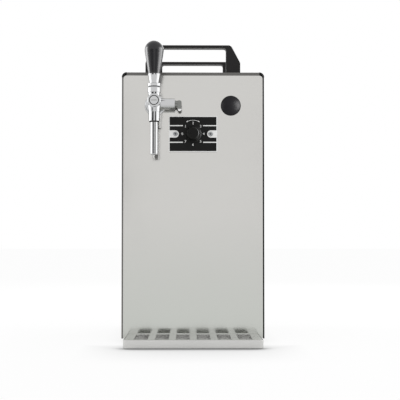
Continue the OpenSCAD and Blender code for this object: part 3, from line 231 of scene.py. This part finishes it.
# One finish for each material slot of the record
SLOT_LOOKS = {
    "polished_steel": dict(SHEET, colour=(0.61, 0.602, 0.582), roughness=(0.10, 0.14), stretch=ALONG_X,
                           contrast=0.012, bump=0.0004),
    "case_steel": dict(CASE_SHEET, stretch=ALONG_Y),
    "chassis_steel": dict(colour=(0.42, 0.43, 0.44), roughness=(0.30, 0.50), grain=160, metallic=0.9,
                          contrast=0.14, bump=0.004),
    "black_profile": dict(colour=(0.010, 0.010, 0.009), roughness=(0.30, 0.40), grain=1800, bump=0.004,
                          Specular_IOR_Level=0.3),
    # Its edges colour is a painted highlight
    "handle_black": dict(colour=(0.011, 0.010, 0.010), roughness=(0.40, 0.52), grain=1500, bump=0.012,
                         edges=(0.030, 0.029, 0.029), Specular_IOR_Level=0.25),
    "rubber": dict(colour=(0.018, 0.018, 0.018), roughness=(0.65, 0.85), grain=900, contrast=0.15,
                   bump=0.02, Specular_IOR_Level=0.3),
    "chrome": CHROME_PLATE,
    "grip_black": dict(colour=(0.006, 0.006, 0.008), roughness=(0.22, 0.30), grain=700, bump=0.002,
                       Specular_IOR_Level=0.5),
    "cone_white": dict(colour=(0.80, 0.80, 0.78), roughness=(0.35, 0.45), grain=600, contrast=0.02,
                       bump=0.004),
    "plug_black": dict(colour=(0.004, 0.0038, 0.0045), roughness=(0.30, 0.38), grain=1600, bump=0.004,
                       Specular_IOR_Level=0.11),
    "dial_black": dict(colour=(0.005, 0.0048, 0.0045), roughness=(0.40, 0.50), grain=1200, bump=0.002,
                       Specular_IOR_Level=0.2),
    # Its edges colour is a painted highlight
    "knob_black": dict(colour=(0.006, 0.006, 0.0055), roughness=(0.40, 0.52), grain=1400, bump=0.006,
                       edges=(0.012, 0.0118, 0.0115), Specular_IOR_Level=0.25),
    "inner_steel": dict(colour=(0.55, 0.55, 0.54), roughness=(0.22, 0.34), grain=1500, metallic=1.0,
                        stretch=ALONG_Y, bump=0.002),
    "device_grey": dict(colour=(0.18, 0.18, 0.19), roughness=(0.42, 0.55), grain=1200, bump=0.01),
    "copper": dict(colour=(0.72, 0.40, 0.26), roughness=(0.22, 0.42), grain=260, metallic=1.0,
                   contrast=0.12, bump=0.003),
    "compressor_black": dict(colour=(0.014, 0.014, 0.015), roughness=(0.22, 0.34), grain=320, bump=0.02,
                             Coat_Weight=0.3, Coat_Roughness=0.2),
    "device_black": dict(colour=(0.012, 0.012, 0.012), roughness=(0.40, 0.52), grain=1400, bump=0.008,
                         Specular_IOR_Level=0.3),
    "aluminium": dict(colour=(0.72, 0.73, 0.745), roughness=(0.26, 0.38), grain=1400, metallic=1.0,
                      stretch=ALONG_Z, bump=0.002),
    "foam": dict(colour=(0.80, 0.75, 0.60), roughness=(0.85, 0.95), grain=420, contrast=0.10, bump=0.2),
    "rocker_green": dict(colour=(0.020, 0.22, 0.05), roughness=(0.18, 0.26), grain=500, bump=0.002,
                         Coat_Weight=0.4, Coat_Roughness=0.1),
    "collet_blue": dict(colour=(0.035, 0.13, 0.42), roughness=(0.35, 0.45), grain=900, bump=0.004),
    "collet_grey": dict(colour=(0.32, 0.32, 0.33), roughness=(0.35, 0.45), grain=900, bump=0.004),
}
FINISHES = {slot: finish(slot, **look) for slot, look in SLOT_LOOKS.items()}
# Nodes with a finish of their own, brushed another way or changing over the piece
OWN = {
    "rear_panel": finish("rear_steel", **CASE_SHEET, stretch=ALONG_Z),
    "drip_tray": finish("tray_steel", **TRAY_SHEET),
    "drip_grate": finish("grate_steel", **TRAY_SHEET),
    "compensator_lever": finish("wing_chrome", **DULL_CHROME, colour=(0.22, 0.225, 0.215), rounding=0.35),
    "tap_body": finish("body_chrome", **CHROME_PLATE),
}
# Finishes of the scene's own pieces
# A darker satin chrome, painted shade for the bottom of the cap's slot
SATIN_SLOT_SHADE = finish("satin_chrome", **DULL_CHROME, colour=(0.34, 0.345, 0.33))
PRINT_WHITE = finish("print_white", colour=(0.86, 0.86, 0.85), roughness=(0.45, 0.55), grain=1600,
                     contrast=0.03, bump=0.003)
# Darker steel for the front lips, as painted shade
LIP_PAINTED_SHADE = finish("lip_painted_shade", colour=(0.165, 0.161, 0.155), roughness=(0.30, 0.42), grain=1800,
                  metallic=1.0, stretch=ALONG_Z, bump=0.002)

# Painted light and shade: colours that finishes go over into, and where
# Painted light on the tray's bottom, seen through the grate's slots
TRAY_BOTTOM_PAINTED_LIGHT = (0.93, 0.93, 0.915)
BOTTOM_GAIN = 2.0
FACING_UP = (0.5, 0.9)
# A painted highlight on the wing's lower tip
WING_TIP_PAINTED_HIGHLIGHT = (0.93, 0.93, 0.93)
TIP_H = 4 * MM
# Painted shade on the tap's body where it faces down
BODY_UNDER_PAINTED_SHADE = (0.36, 0.37, 0.36)
FACING_DOWN = (-0.25, -0.9)
# A painted reflection, darker and greener, at the foot of the front panel
PANEL_FOOT_PAINTED_REFLECTION = (0.550, 0.563, 0.532)
FOOT_SPAN = (220 * MM, 35 * MM)
# Painted shade that darkens the right lip
RIGHT_LIP_PAINTED_SHADE = (0.014, 0.0135, 0.013)
FACING_RIGHT = (0.2, 0.6)
KNOB_GLOSS = (0.13, 0.8)


def brighten_tray_bottom():
    """The bottom of the tray, which shows through the slots of the grate, lightened with painted light
    where it faces up.
    """
    low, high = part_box("drip_tray")
    tree = OWN["drip_tray"].node_tree
    deep = along(tree, "Position", "Z", (low.z + high.z) / 2, low.z, high=BOTTOM_GAIN)
    # Painted light: upward faces low in the tray go over into a pale colour
    painted_tray_light = combined(tree, "MULTIPLY", deep, along(tree, "Normal", "Z", *FACING_UP))
    tint(OWN["drip_tray"], painted_tray_light, TRAY_BOTTOM_PAINTED_LIGHT)


def brighten_wing_tip():
    """The compensator's wing, with a painted highlight on its lower tip."""
    wing = OWN["compensator_lever"]
    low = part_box("compensator_lever")[0]
    tint(wing, along(wing.node_tree, "Object", "Z", low.z + TIP_H, low.z + TIP_H / 2), WING_TIP_PAINTED_HIGHLIGHT)


def shade_body_under():
    """The tap's body, with painted shade where it faces down."""
    tint(OWN["tap_body"], along(OWN["tap_body"].node_tree, "Normal", "Z", *FACING_DOWN), BODY_UNDER_PAINTED_SHADE)


def shade_panel_foot():
    """The front panel, with a painted reflection that goes a little darker and greener down to the tray.
    """
    panel = FINISHES["polished_steel"]
    tint(panel, along(panel.node_tree, "Position", "Z", *FOOT_SPAN), PANEL_FOOT_PAINTED_REFLECTION)


def darken_right_lip():
    """The right lip, with painted shade that makes it darker than the left one."""
    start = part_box("top_panel")[1].x
    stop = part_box("front_panel")[1].x
    tint(LIP_PAINTED_SHADE, along(LIP_PAINTED_SHADE.node_tree, "Position", "X", start, stop), RIGHT_LIP_PAINTED_SHADE)


def gloss_knob_skirt():
    """The knob, dull but for where its skirt faces right."""
    tree = FINISHES["knob_black"].node_tree
    gloss = along(tree, "Normal", "X", *FACING_RIGHT, *KNOB_GLOSS)
    tree.links.new(gloss, tree.nodes["Principled BSDF"].inputs["Specular IOR Level"])


def dress_frame():
    """Each node of the frame gets its slot's finish."""
    for name, node in nodes.items():
        slot = node.data.materials[0].name.split(".")[0]
        node.data.materials[0] = OWN.get(name, FINISHES[slot])


# Edges of the frame's nodes: angles in degrees, radii in millimetres

WELD_WITHIN = 0.005 * MM
FLAT_WITHIN = 0.5
SPLIT_FROM = 20
BEVEL_FROM = 32


def welded(name):
    """Joins a node's faces, so that they shade by their own shape, and returns its object."""
    node = nodes[name]
    mesh = node.data
    if "custom_normal" in mesh.attributes:
        mesh.attributes.remove(mesh.attributes["custom_normal"])
    mesh.polygons.foreach_set("use_smooth", [True] * len(mesh.polygons))
    weld = node.modifiers.new("weld", "WELD")
    weld.merge_threshold = WELD_WITHIN
    return node


def smoothed(name):
    """Shades a node's curved faces as one, and leaves its real edges sharp."""
    node = welded(name)
    split = node.modifiers.new("split", "EDGE_SPLIT")
    split.split_angle = math.radians(SPLIT_FROM)
    node.modifiers.new("weigh", "WEIGHTED_NORMAL")


def rounded(name, radius, segments):
    """Rounds a node's real edges."""
    node = welded(name)
    flat = node.modifiers.new("flat", "DECIMATE")
    flat.decimate_type = "DISSOLVE"
    flat.angle_limit = math.radians(FLAT_WITHIN)
    bevel = node.modifiers.new("bevel", "BEVEL")
    bevel.width = radius * MM
    bevel.segments = segments
    bevel.limit_method = "ANGLE"
    bevel.angle_limit = math.radians(BEVEL_FROM)
    bevel.harden_normals = True


SMOOTH_NODES = [
    "tap_rosette", "tap_shank", "tap_body", "tap_spout", "tap_front_cap", "lever_nut", "tap_lever",
    "tap_handle", "compensator_lever", "hole_plug", "thermostat_knob", "compressor", "filter_drier",
    "case_screws", "corner_profile_left", "corner_profile_right", "push_fittings", "beer_collet",
    "air_collet",
]
# Radius and segments of each rounded node
ROUND_NODES = {
    "carry_handle_front": (1.6, 4),
    "carry_handle_rear": (1.6, 4),
    "drip_tray": (0.5, 3),
    "drip_grate": (0.3, 2),
    "thermostat_plate": (0.3, 2),
    "power_inlet": (0.35, 2),
    "switch_housings": (0.35, 2),
    "power_rocker": (0.35, 2),
    "pump_rocker": (0.35, 2),
}


def soften_edges():
    for name in SMOOTH_NODES:
        smoothed(name)
    for name, (radius, segments) in ROUND_NODES.items():
        rounded(name, radius, segments)


# Pieces of the scene


def piece(name, body, material):
    """A new empty mesh object that rides on a body."""
    mesh = bpy.data.meshes.new(name)
    mesh.materials.append(material)
    obj = bpy.data.objects.new(name, mesh)
    bpy.context.scene.collection.objects.link(obj)
    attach(obj, body)
    return obj


def plate_from(builder, outline, y, thickness):
    """Adds a flat closed plate, facing the front, from an outline of (x, z) points in metres."""
    front = [builder.verts.new((x, y - thickness, z)) for x, z in outline]
    back = [builder.verts.new((x, y, z)) for x, z in outline]
    builder.faces.new(front)
    builder.faces.new(back[::-1])
    for i in range(len(outline)):
        j = (i + 1) % len(outline)
        builder.faces.new((front[j], front[i], back[i], back[j]))


def written(obj, builder):
    """Puts a builder's faces into an object, facing outwards."""
    bmesh.ops.recalc_face_normals(builder, faces=builder.faces)
    builder.to_mesh(obj.data)
    builder.free()
    return obj


def rectangle(left, low, right, high):
    return [(left, low), (right, low), (right, high), (left, high)]


def arc(centre, radius, start, stop, steps):
    """Points on a circle from one angle to another, in degrees."""
    angles = [math.radians(start + (stop - start) * i / steps) for i in range(steps + 1)]
    return [(centre[0] + radius * math.cos(a), centre[1] + radius * math.sin(a)) for a in angles]


# Print on the thermostat plate

INK = 0.12 * MM
BORDER = 1.4 * MM
BORDER_IN = 0.05 * MM
LINE_Z = 14 * MM
LINE_IN = 17 * MM
LINE_T = 1.7 * MM
TAB_IN = 23.8 * MM
TAB_H = 12.2 * MM
TAB_STEPS = 20
NUMBER_R = 18.1 * MM
NUMBER_SIZE = 6.0 * MM
NUMBERS = 8
ARROW_R = 23.2 * MM
ARROW_T = 0.5 * MM
ARROW_SPAN = 22
ARROW_STEPS = 24
ARROW_HEAD = 2.2 * MM
ARROW_POINT = 8


def ink(builder, points):
    """Adds a printed shape to the dial's plate from (x, z) points about its middle."""
    plate_from(builder, [(DIAL.x + x, DIAL.z + z) for x, z in points], PLATE_Y, INK)


def make_dial_print():
    """The border of the plate, four lines, and the tabs round its screws."""
    builder = bmesh.new()
    half_w = (PLATE_HIGH.x - PLATE_LOW.x) / 2
    half_h = (PLATE_HIGH.z - PLATE_LOW.z) / 2
    out_x = half_w - BORDER_IN
    out_z = half_h - BORDER_IN
    in_x = half_w - BORDER
    in_z = half_h - BORDER
    for side in (-1, 1):
        ink(builder, rectangle(-out_x, side * in_z, out_x, side * out_z))
        ink(builder, rectangle(side * in_x, -in_z, side * out_x, in_z))
        for level in (-LINE_Z, LINE_Z):
            ink(builder, rectangle(side * LINE_IN, level - LINE_T / 2, side * in_x, level + LINE_T / 2))
        round_x = TAB_IN + TAB_H / 2
        outline = [(side * (round_x + x), z) for x, z in arc((0, 0), TAB_H / 2, 90, 270, TAB_STEPS)]
        outline += [(side * in_x, -TAB_H / 2), (side * in_x, TAB_H / 2)]
        ink(builder, outline)
    written(piece("dial_print", "cooler", PRINT_WHITE), builder)


def make_dial_arrows():
    """A curved double arrow over the scale."""
    builder = bmesh.new()
    start = 90 - ARROW_SPAN
    stop = 90 + ARROW_SPAN
    outer = arc((0, 0), ARROW_R + ARROW_T / 2, start, stop, ARROW_STEPS)
    inner = arc((0, 0), ARROW_R - ARROW_T / 2, stop, start, ARROW_STEPS)
    ink(builder, outer + inner)
    for angle, turn in ((start, -1), (stop, 1)):
        a = math.radians(angle)
        tip = math.radians(angle + turn * ARROW_POINT)
        radii = (ARROW_R - ARROW_HEAD / 2, ARROW_R + ARROW_HEAD / 2)
        head = [(r * math.cos(a), r * math.sin(a)) for r in radii]
        ink(builder, head + [(ARROW_R * math.cos(tip), ARROW_R * math.sin(tip))])
    written(piece("dial_arrows", "cooler", PRINT_WHITE), builder)


def make_dial_numbers():
    """The numbers 0 to 7, clockwise from the left."""
    builder = bmesh.new()
    for number in range(NUMBERS):
        angle = math.radians(180 - 360 * number / NUMBERS)
        curve = bpy.data.curves.new("number", "FONT")
        curve.body = str(number)
        curve.size = NUMBER_SIZE
        curve.align_x = "CENTER"
        curve.align_y = "CENTER"
        curve.extrude = INK / 2
        text = bpy.data.objects.new("number", curve)
        shape = text.to_mesh()
        x = DIAL.x + NUMBER_R * math.cos(angle)
        z = DIAL.z + NUMBER_R * math.sin(angle)
        for vertex in shape.vertices:
            flat = vertex.co.copy()
            vertex.co = (x + flat.x, PLATE_Y - INK / 2 - flat.z, z + flat.y)
        builder.from_mesh(shape)
        text.to_mesh_clear()
        bpy.data.objects.remove(text)
        bpy.data.curves.remove(curve)
    written(piece("dial_numbers", "cooler", PRINT_WHITE), builder)


# Painted shade: dark bands round the front edges of the case

LIP_T = 0.25 * MM


def make_lip_trim():
    """Thin dark bands of painted shade on the folded front lips of the side and top panels."""
    builder = bmesh.new()
    low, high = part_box("side_panel_right")
    pane_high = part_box("front_panel")[1]
    top_low, top_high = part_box("top_panel")
    for side in (-1, 1):
        plate_from(builder, rectangle(side * pane_high.x, low.z, side * high.x, high.z), PANEL_Y, LIP_T)
    plate_from(builder, rectangle(top_low.x, pane_high.z, top_high.x, top_high.z), PANEL_Y, LIP_T)
    written(piece("front_lips", "cooler", LIP_PAINTED_SHADE), builder)


# Small fittings

RING_STEPS = 64
RING_SIDES = 8

# A dark ring of painted shade in the front cap's groove
GROOVE_SHADE_R = 7.4 * MM
GROOVE_SHADE_HALF = 0.66 * MM
GROOVE_SHADE_DEEP = 0.2 * MM


def add_ring(builder, place, radius, half):
    """Adds a round ring about an axis.

    place gives the point for an angle, a distance from the axis and a way along it."""
    rings = []
    for step in range(RING_STEPS):
        a = math.radians(360 * step / RING_STEPS)
        ring = []
        for side in range(RING_SIDES):
            b = math.radians(360 * side / RING_SIDES)
            ring.append(builder.verts.new(place(a, radius + half * math.cos(b), half * math.sin(b))))
        rings.append(ring)
    for i, ring in enumerate(rings):
        following = rings[(i + 1) % RING_STEPS]
        for j in range(RING_SIDES):
            k = (j + 1) % RING_SIDES
            builder.faces.new((ring[j], ring[k], following[k], following[j])).smooth = True


def make_cap_seal():
    """A dark ring of painted shade in the groove of the tap's front cap."""
    low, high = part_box("tap_front_cap")
    x = (low.x + high.x) / 2
    z = (low.z + high.z) / 2
    y = low.y + GROOVE_SHADE_DEEP + GROOVE_SHADE_HALF
    builder = bmesh.new()
    add_ring(builder, lambda a, r, way: (x + r * math.cos(a), y + way, z + r * math.sin(a)),
             GROOVE_SHADE_R, GROOVE_SHADE_HALF)
    written(piece("cap_groove_shade", "cooler", FINISHES["rubber"]), builder)


SLOT_W = 8.8 * MM
SLOT_H = 1.1 * MM
SLOT_FACE = 0.6 * MM
SLOT_T = 0.3 * MM
SLOT_STEPS = 8


def make_cap_slot():
    """The bottom of the coin slot in the tap's front cap: a flat, dull plate, darker as painted shade."""
    low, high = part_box("tap_front_cap")
    x = (low.x + high.x) / 2
    z = (low.z + high.z) / 2
    ends = arc((x + SLOT_W / 2 - SLOT_H / 2, z), SLOT_H / 2, -90, 90, SLOT_STEPS)
    ends += arc((x - SLOT_W / 2 + SLOT_H / 2, z), SLOT_H / 2, 90, 270, SLOT_STEPS)
    builder = bmesh.new()
    plate_from(builder, ends, low.y + SLOT_FACE + SLOT_T, SLOT_T)
    written(piece("cap_slot", "cooler", SATIN_SLOT_SHADE), builder)


SPOUT_RING_HALF = 0.9 * MM


def make_spout_ring():
    """The dark ring where the spout leaves the tap's body."""
    low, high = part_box("tap_spout")
    x = (low.x + high.x) / 2
    y = (low.y + high.y) / 2
    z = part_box("tap_body")[0].z - SPOUT_RING_HALF
    radius = (high.x - low.x) / 2 + SPOUT_RING_HALF
    builder = bmesh.new()
    add_ring(builder, lambda a, r, way: (x + r * math.cos(a), y + r * math.sin(a), z + way),
             radius, SPOUT_RING_HALF)
    written(piece("spout_ring", "cooler", FINISHES["rubber"]), builder)


# Dark crosses of painted shade in the cross recesses of the screws that show
CROSS_W = 4.36 * MM
CROSS_T = 0.96 * MM
CROSS_DEEP = 0.25 * MM
HEAD_APART = 8 * MM
HEAD_FLAT = 0.02 * MM


def head_centres(y):
    """Middles of the screw heads whose outer faces lie at a depth y."""
    groups = []
    for vertex in nodes["case_screws"].data.vertices:
        place = nodes["case_screws"].matrix_world @ vertex.co
        if abs(place.y - y) > HEAD_FLAT:
            continue
        near = [g for g in groups if (g[0] - place).length < HEAD_APART]
        if near:
            near[0].append(place)
        else:
            groups.append([place])
    centres = []
    for group in groups:
        xs = [place.x for place in group]
        zs = [place.z for place in group]
        centres.append(((min(xs) + max(xs)) / 2, (min(zs) + max(zs)) / 2))
    return centres


# Dark plates of painted shade fill the cross recesses
def make_screw_crosses():
    low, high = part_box("case_screws")
    a, b = CROSS_W / 2, CROSS_T / 2
    cross = [(-a, -b), (-b, -b), (-b, -a), (b, -a), (b, -b), (a, -b),
             (a, b), (b, b), (b, a), (-b, a), (-b, b), (-a, b)]
    builder = bmesh.new()
    # A plate reaches from its back towards the front by its thickness
    for edge, back in ((low.y, low.y + 2 * CROSS_DEEP), (high.y, high.y - CROSS_DEEP)):
        for x, z in head_centres(edge):
            plate_from(builder, [(x + dx, z + dz) for dx, dz in cross], back, CROSS_DEEP)
    written(piece("screw_recess_shade", "cooler", FINISHES["device_black"]), builder)


# The rockers' marks, a bar above and a ring below, on faces that tilt with the rocker
ROCKER_TILT = 9
ROCKER_PIVOT_IN = 1 * MM
ROCKER_FACE = 4.5 * MM
ROCKER_DIP = 1.2 * MM
ROCKER_HALF = 9 * MM
MARK_UP = 5 * MM
MARK_H = 3.4 * MM
MARK_T = 0.7 * MM
MARK_INK = 0.1 * MM
MARK_SUNK = 0.2 * MM
MARK_STEPS = 23


def on_rocker(builder, pivot, points, upper):
    """Adds a mark to a rocker's upper or lower face from (x, height) points about the mark's middle."""
    tilt = math.radians(-ROCKER_TILT)
    side = 1 if upper else -1
    slope = ROCKER_DIP / ROCKER_HALF
    rows = []
    for out in (-MARK_SUNK, MARK_INK):
        row = []
        for x, h in points:
            z = side * MARK_UP + h
            y = ROCKER_FACE - ROCKER_DIP + abs(z) * slope + out
            row.append(builder.verts.new((pivot.x + x, pivot.y + y * math.cos(tilt) - z * math.sin(tilt),
                                          pivot.z + y * math.sin(tilt) + z * math.cos(tilt))))
        rows.append(row)
    return rows


def closed_mark(builder, rows, hole=None):
    """Faces of a mark: its outline, or a band between its outline and a hole."""
    under, over = rows
    count = len(over)
    if hole:
        hole_under, hole_over = hole
        for i in range(count):
            j = (i + 1) % count
            builder.faces.new((over[i], over[j], hole_over[j], hole_over[i]))
            builder.faces.new((under[i], hole_under[i], hole_under[j], under[j]))
            builder.faces.new((hole_over[i], hole_over[j], hole_under[j], hole_under[i]))
    else:
        builder.faces.new(over)
        builder.faces.new(under[::-1])
    for i in range(count):
        j = (i + 1) % count
        builder.faces.new((over[j], over[i], under[i], under[j]))


def make_rocker_marks():
    for body in ("power_rocker", "pump_rocker"):
        low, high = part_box(body)
        pivot = Vector(((low.x + high.x) / 2, REAR_Y - ROCKER_PIVOT_IN, (low.z + high.z) / 2))
        builder = bmesh.new()
        bar = rectangle(-MARK_T / 2, -MARK_H / 2, MARK_T / 2, MARK_H / 2)
        closed_mark(builder, on_rocker(builder, pivot, bar, True))
        # The ring's last point lies one step before its first
        last = 360 * MARK_STEPS / (MARK_STEPS + 1)
        outer = arc((0, 0), MARK_H / 2, 0, last, MARK_STEPS)
        inner = arc((0, 0), MARK_H / 2 - MARK_T, 0, last, MARK_STEPS)
        closed_mark(builder, on_rocker(builder, pivot, outer, False),
                    on_rocker(builder, pivot, inner, False))
        written(piece(body + "_marks", body, PRINT_WHITE), builder)


# Light and surroundings

WORLD_LEVEL = 0.88
MIDDLE = (0, 0, 0.28)

# Lamps that light everything: name, place, size and power
LAMPS = [
    ("left", (-1.83, 0.49, 0.9), (0.8, 1.5), 5.0),
    ("right", (1.83, 0.49, 0.9), (0.8, 1.5), 5.0),
    ("back", (0.5, 1.8, 1.4), (1.2, 1.0), 8.0),
]
# Lamps whose mirror images only some nodes show
GRIP = ["tap_handle", "thermostat_knob"]
PLUG = ["hole_plug"]
CHROME = ["tap_rosette", "tap_body", "tap_spout", "tap_front_cap", "lever_nut", "tap_lever"]
LINKED_LAMPS = [
    ("grip_left", (-1.85, 0.43, 0.6), (1.4, 1.5), 40.0, GRIP),
    ("grip_right", (1.90, -0.07, 0.6), (2.0, 1.5), 56.0, GRIP),
    ("plug_left", (-1.60, -1.0, 0.6), (1.0, 1.2), 36.0, PLUG),
    ("plug_right", (1.34, -1.34, 0.6), (1.2, 1.2), 105.0, PLUG),
    ("chrome_left", (-1.88, -0.26, 0.6), (1.8, 1.5), 6.0, CHROME),
    ("chrome_right", (1.86, -0.40, 0.6), (2.0, 1.5), 6.6, CHROME),
]


def seen_directly(tree):
    """One for rays that look, mirror or pass through, and zero for rays that only light."""
    path = tree.nodes.new("ShaderNodeLightPath")
    kinds = ("Is Camera Ray", "Is Glossy Ray", "Is Transmission Ray")
    return combined(tree, "MAXIMUM", *[path.outputs[kind] for kind in kinds])


def make_world():
    world = bpy.data.worlds.new("studio")
    bpy.context.scene.world = world
    world.use_nodes = True
    tree = world.node_tree
    tree.nodes.clear()
    light = add(tree, "ShaderNodeBackground", Color=(1, 1, 1, 1), Strength=WORLD_LEVEL)
    seen = add(tree, "ShaderNodeBackground", Color=(1, 1, 1, 1), Strength=1.0)
    mix = tree.nodes.new("ShaderNodeMixShader")
    out = tree.nodes.new("ShaderNodeOutputWorld")
    tree.links.new(seen_directly(tree), mix.inputs[0])
    tree.links.new(light.outputs[0], mix.inputs[1])
    tree.links.new(seen.outputs[0], mix.inputs[2])
    tree.links.new(mix.outputs[0], out.inputs["Surface"])


def near_object(tree, reach, seen, level):
    """One on the open floor, and a level where no more than seen is left of the view within reach."""
    closeness = add(tree, "ShaderNodeAmbientOcclusion", Distance=reach)
    node = add(tree, "ShaderNodeMapRange", From_Min=seen, From_Max=1.0, To_Max=1.0)
    tree.links.new(level, node.inputs["To Min"])
    tree.links.new(closeness.outputs["AO"], node.inputs["Value"])
    return node.outputs["Result"]


FLOOR_HALF = 30
FLOOR_GRAIN = 2.0
FLOOR_TONES = ((0.96, 0.96, 0.96), (0.98, 0.98, 0.98))
GLOW_SHARE = 0.85
# The contact shadow and the soft one: reach, what is left of the view there, levels beside and ahead
# of the tray, and the way over which one level goes into the other
SHADES = [(0.035, 0.5, 0.95, 0.08, 0.02), (0.32, 0.65, 1.0, 0.62, 0.07)]


def make_floor():
    """A pale floor that keeps the shadow and otherwise goes over into the white background."""
    builder = bmesh.new()
    bmesh.ops.create_grid(builder, x_segments=1, y_segments=1, size=FLOOR_HALF)
    mesh = bpy.data.meshes.new("floor")
    builder.to_mesh(mesh)
    builder.free()
    floor = bpy.data.objects.new("floor", mesh)
    bpy.context.scene.collection.objects.link(floor)
    material = bpy.data.materials.new("floor")
    material.use_nodes = True
    tree = material.node_tree
    tree.nodes.clear()
    lit = add(tree, "ShaderNodeBsdfDiffuse")
    tree.links.new(mixed(tree, noise(tree, FLOOR_GRAIN), *FLOOR_TONES), lit.inputs["Color"])
    glow = add(tree, "ShaderNodeEmission", Color=(1, 1, 1, 1))
    low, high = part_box("drip_tray")
    shades = []
    for reach, seen, beside, ahead, turn in SHADES:
        level = combined(tree, "MAXIMUM",
                         along(tree, "Position", "Y", low.y + turn, low.y, beside, ahead),
                         along(tree, "Position", "X", low.x - turn, low.x, beside, ahead),
                         along(tree, "Position", "X", high.x + turn, high.x, beside, ahead))
        shades.append(near_object(tree, reach, seen, level))
    tree.links.new(combined(tree, "MULTIPLY", *shades), glow.inputs["Strength"])
    share = combined(tree, "MULTIPLY", seen_directly(tree), GLOW_SHARE)
    mix = tree.nodes.new("ShaderNodeMixShader")
    out = tree.nodes.new("ShaderNodeOutputMaterial")
    tree.links.new(share, mix.inputs[0])
    tree.links.new(lit.outputs[0], mix.inputs[1])
    tree.links.new(glow.outputs[0], mix.inputs[2])
    tree.links.new(mix.outputs[0], out.inputs["Surface"])
    mesh.materials.append(material)


def make_lamp(name, place, size, power):
    data = bpy.data.lights.new(name, "AREA")
    data.shape = "RECTANGLE"
    data.size, data.size_y = size
    data.energy = power
    lamp = bpy.data.objects.new(name, data)
    lamp.location = place
    lamp.rotation_euler = (Vector(MIDDLE) - Vector(place)).to_track_quat("-Z", "Y").to_euler()
    bpy.context.scene.collection.objects.link(lamp)
    return lamp


def make_lamps():
    for name, place, size, power in LAMPS:
        make_lamp(name, place, size, power)
    for name, place, size, power, lit in LINKED_LAMPS:
        lamp = make_lamp(name, place, size, power)
        lamp.light_linking.receiver_collection = bpy.data.collections.new(name)
        for node in lit:
            lamp.light_linking.receiver_collection.objects.link(nodes[node])


# Dark cards that only bright metal mirrors, on either side of what the front panel mirrors
CARD_SPANS = ((12, 34), (-44, -10))
CARD_AWAY = 1.5
CARD_LOW = 0.25
CARD_HIGH = 0.57
CARD_STEPS = 8
CARD_ROUGH = 0.9
CARD_GRAIN = 8.0
CARD_TONES = ((0.05, 0.05, 0.05), (0.07, 0.07, 0.07))


def make_cards():
    material = bpy.data.materials.new("card")
    material.use_nodes = True
    tree = material.node_tree
    shader = tree.nodes["Principled BSDF"]
    shader.inputs["Roughness"].default_value = CARD_ROUGH
    tree.links.new(mixed(tree, noise(tree, CARD_GRAIN), *CARD_TONES), shader.inputs["Base Color"])
    for number, (start, stop) in enumerate(CARD_SPANS):
        builder = bmesh.new()
        columns = []
        for step in range(CARD_STEPS + 1):
            a = math.radians(start + (stop - start) * step / CARD_STEPS)
            x, y = CARD_AWAY * math.sin(a), -CARD_AWAY * math.cos(a)
            columns.append([builder.verts.new((x, y, z)) for z in (CARD_LOW, CARD_HIGH)])
        for one, two in zip(columns, columns[1:]):
            builder.faces.new((one[0], two[0], two[1], one[1]))
        mesh = bpy.data.meshes.new("card")
        builder.to_mesh(mesh)
        builder.free()
        mesh.materials.append(material)
        card = bpy.data.objects.new(f"card_{number}", mesh)
        card.visible_camera = False
        card.visible_diffuse = False
        card.visible_shadow = False
        card.visible_transmission = False
        bpy.context.scene.collection.objects.link(card)


make_camera()
make_world()
make_floor()
make_lamps()
make_cards()
dress_frame()
brighten_tray_bottom()
brighten_wing_tip()
shade_body_under()
shade_panel_foot()
darken_right_lip()
gloss_knob_skirt()
soften_edges()
make_dial_print()
make_dial_arrows()
make_dial_numbers()
make_lip_trim()
make_cap_seal()
make_cap_slot()
make_spout_ring()
make_screw_crosses()
make_rocker_marks()

bpy.context.scene.view_settings.view_transform = "Standard"
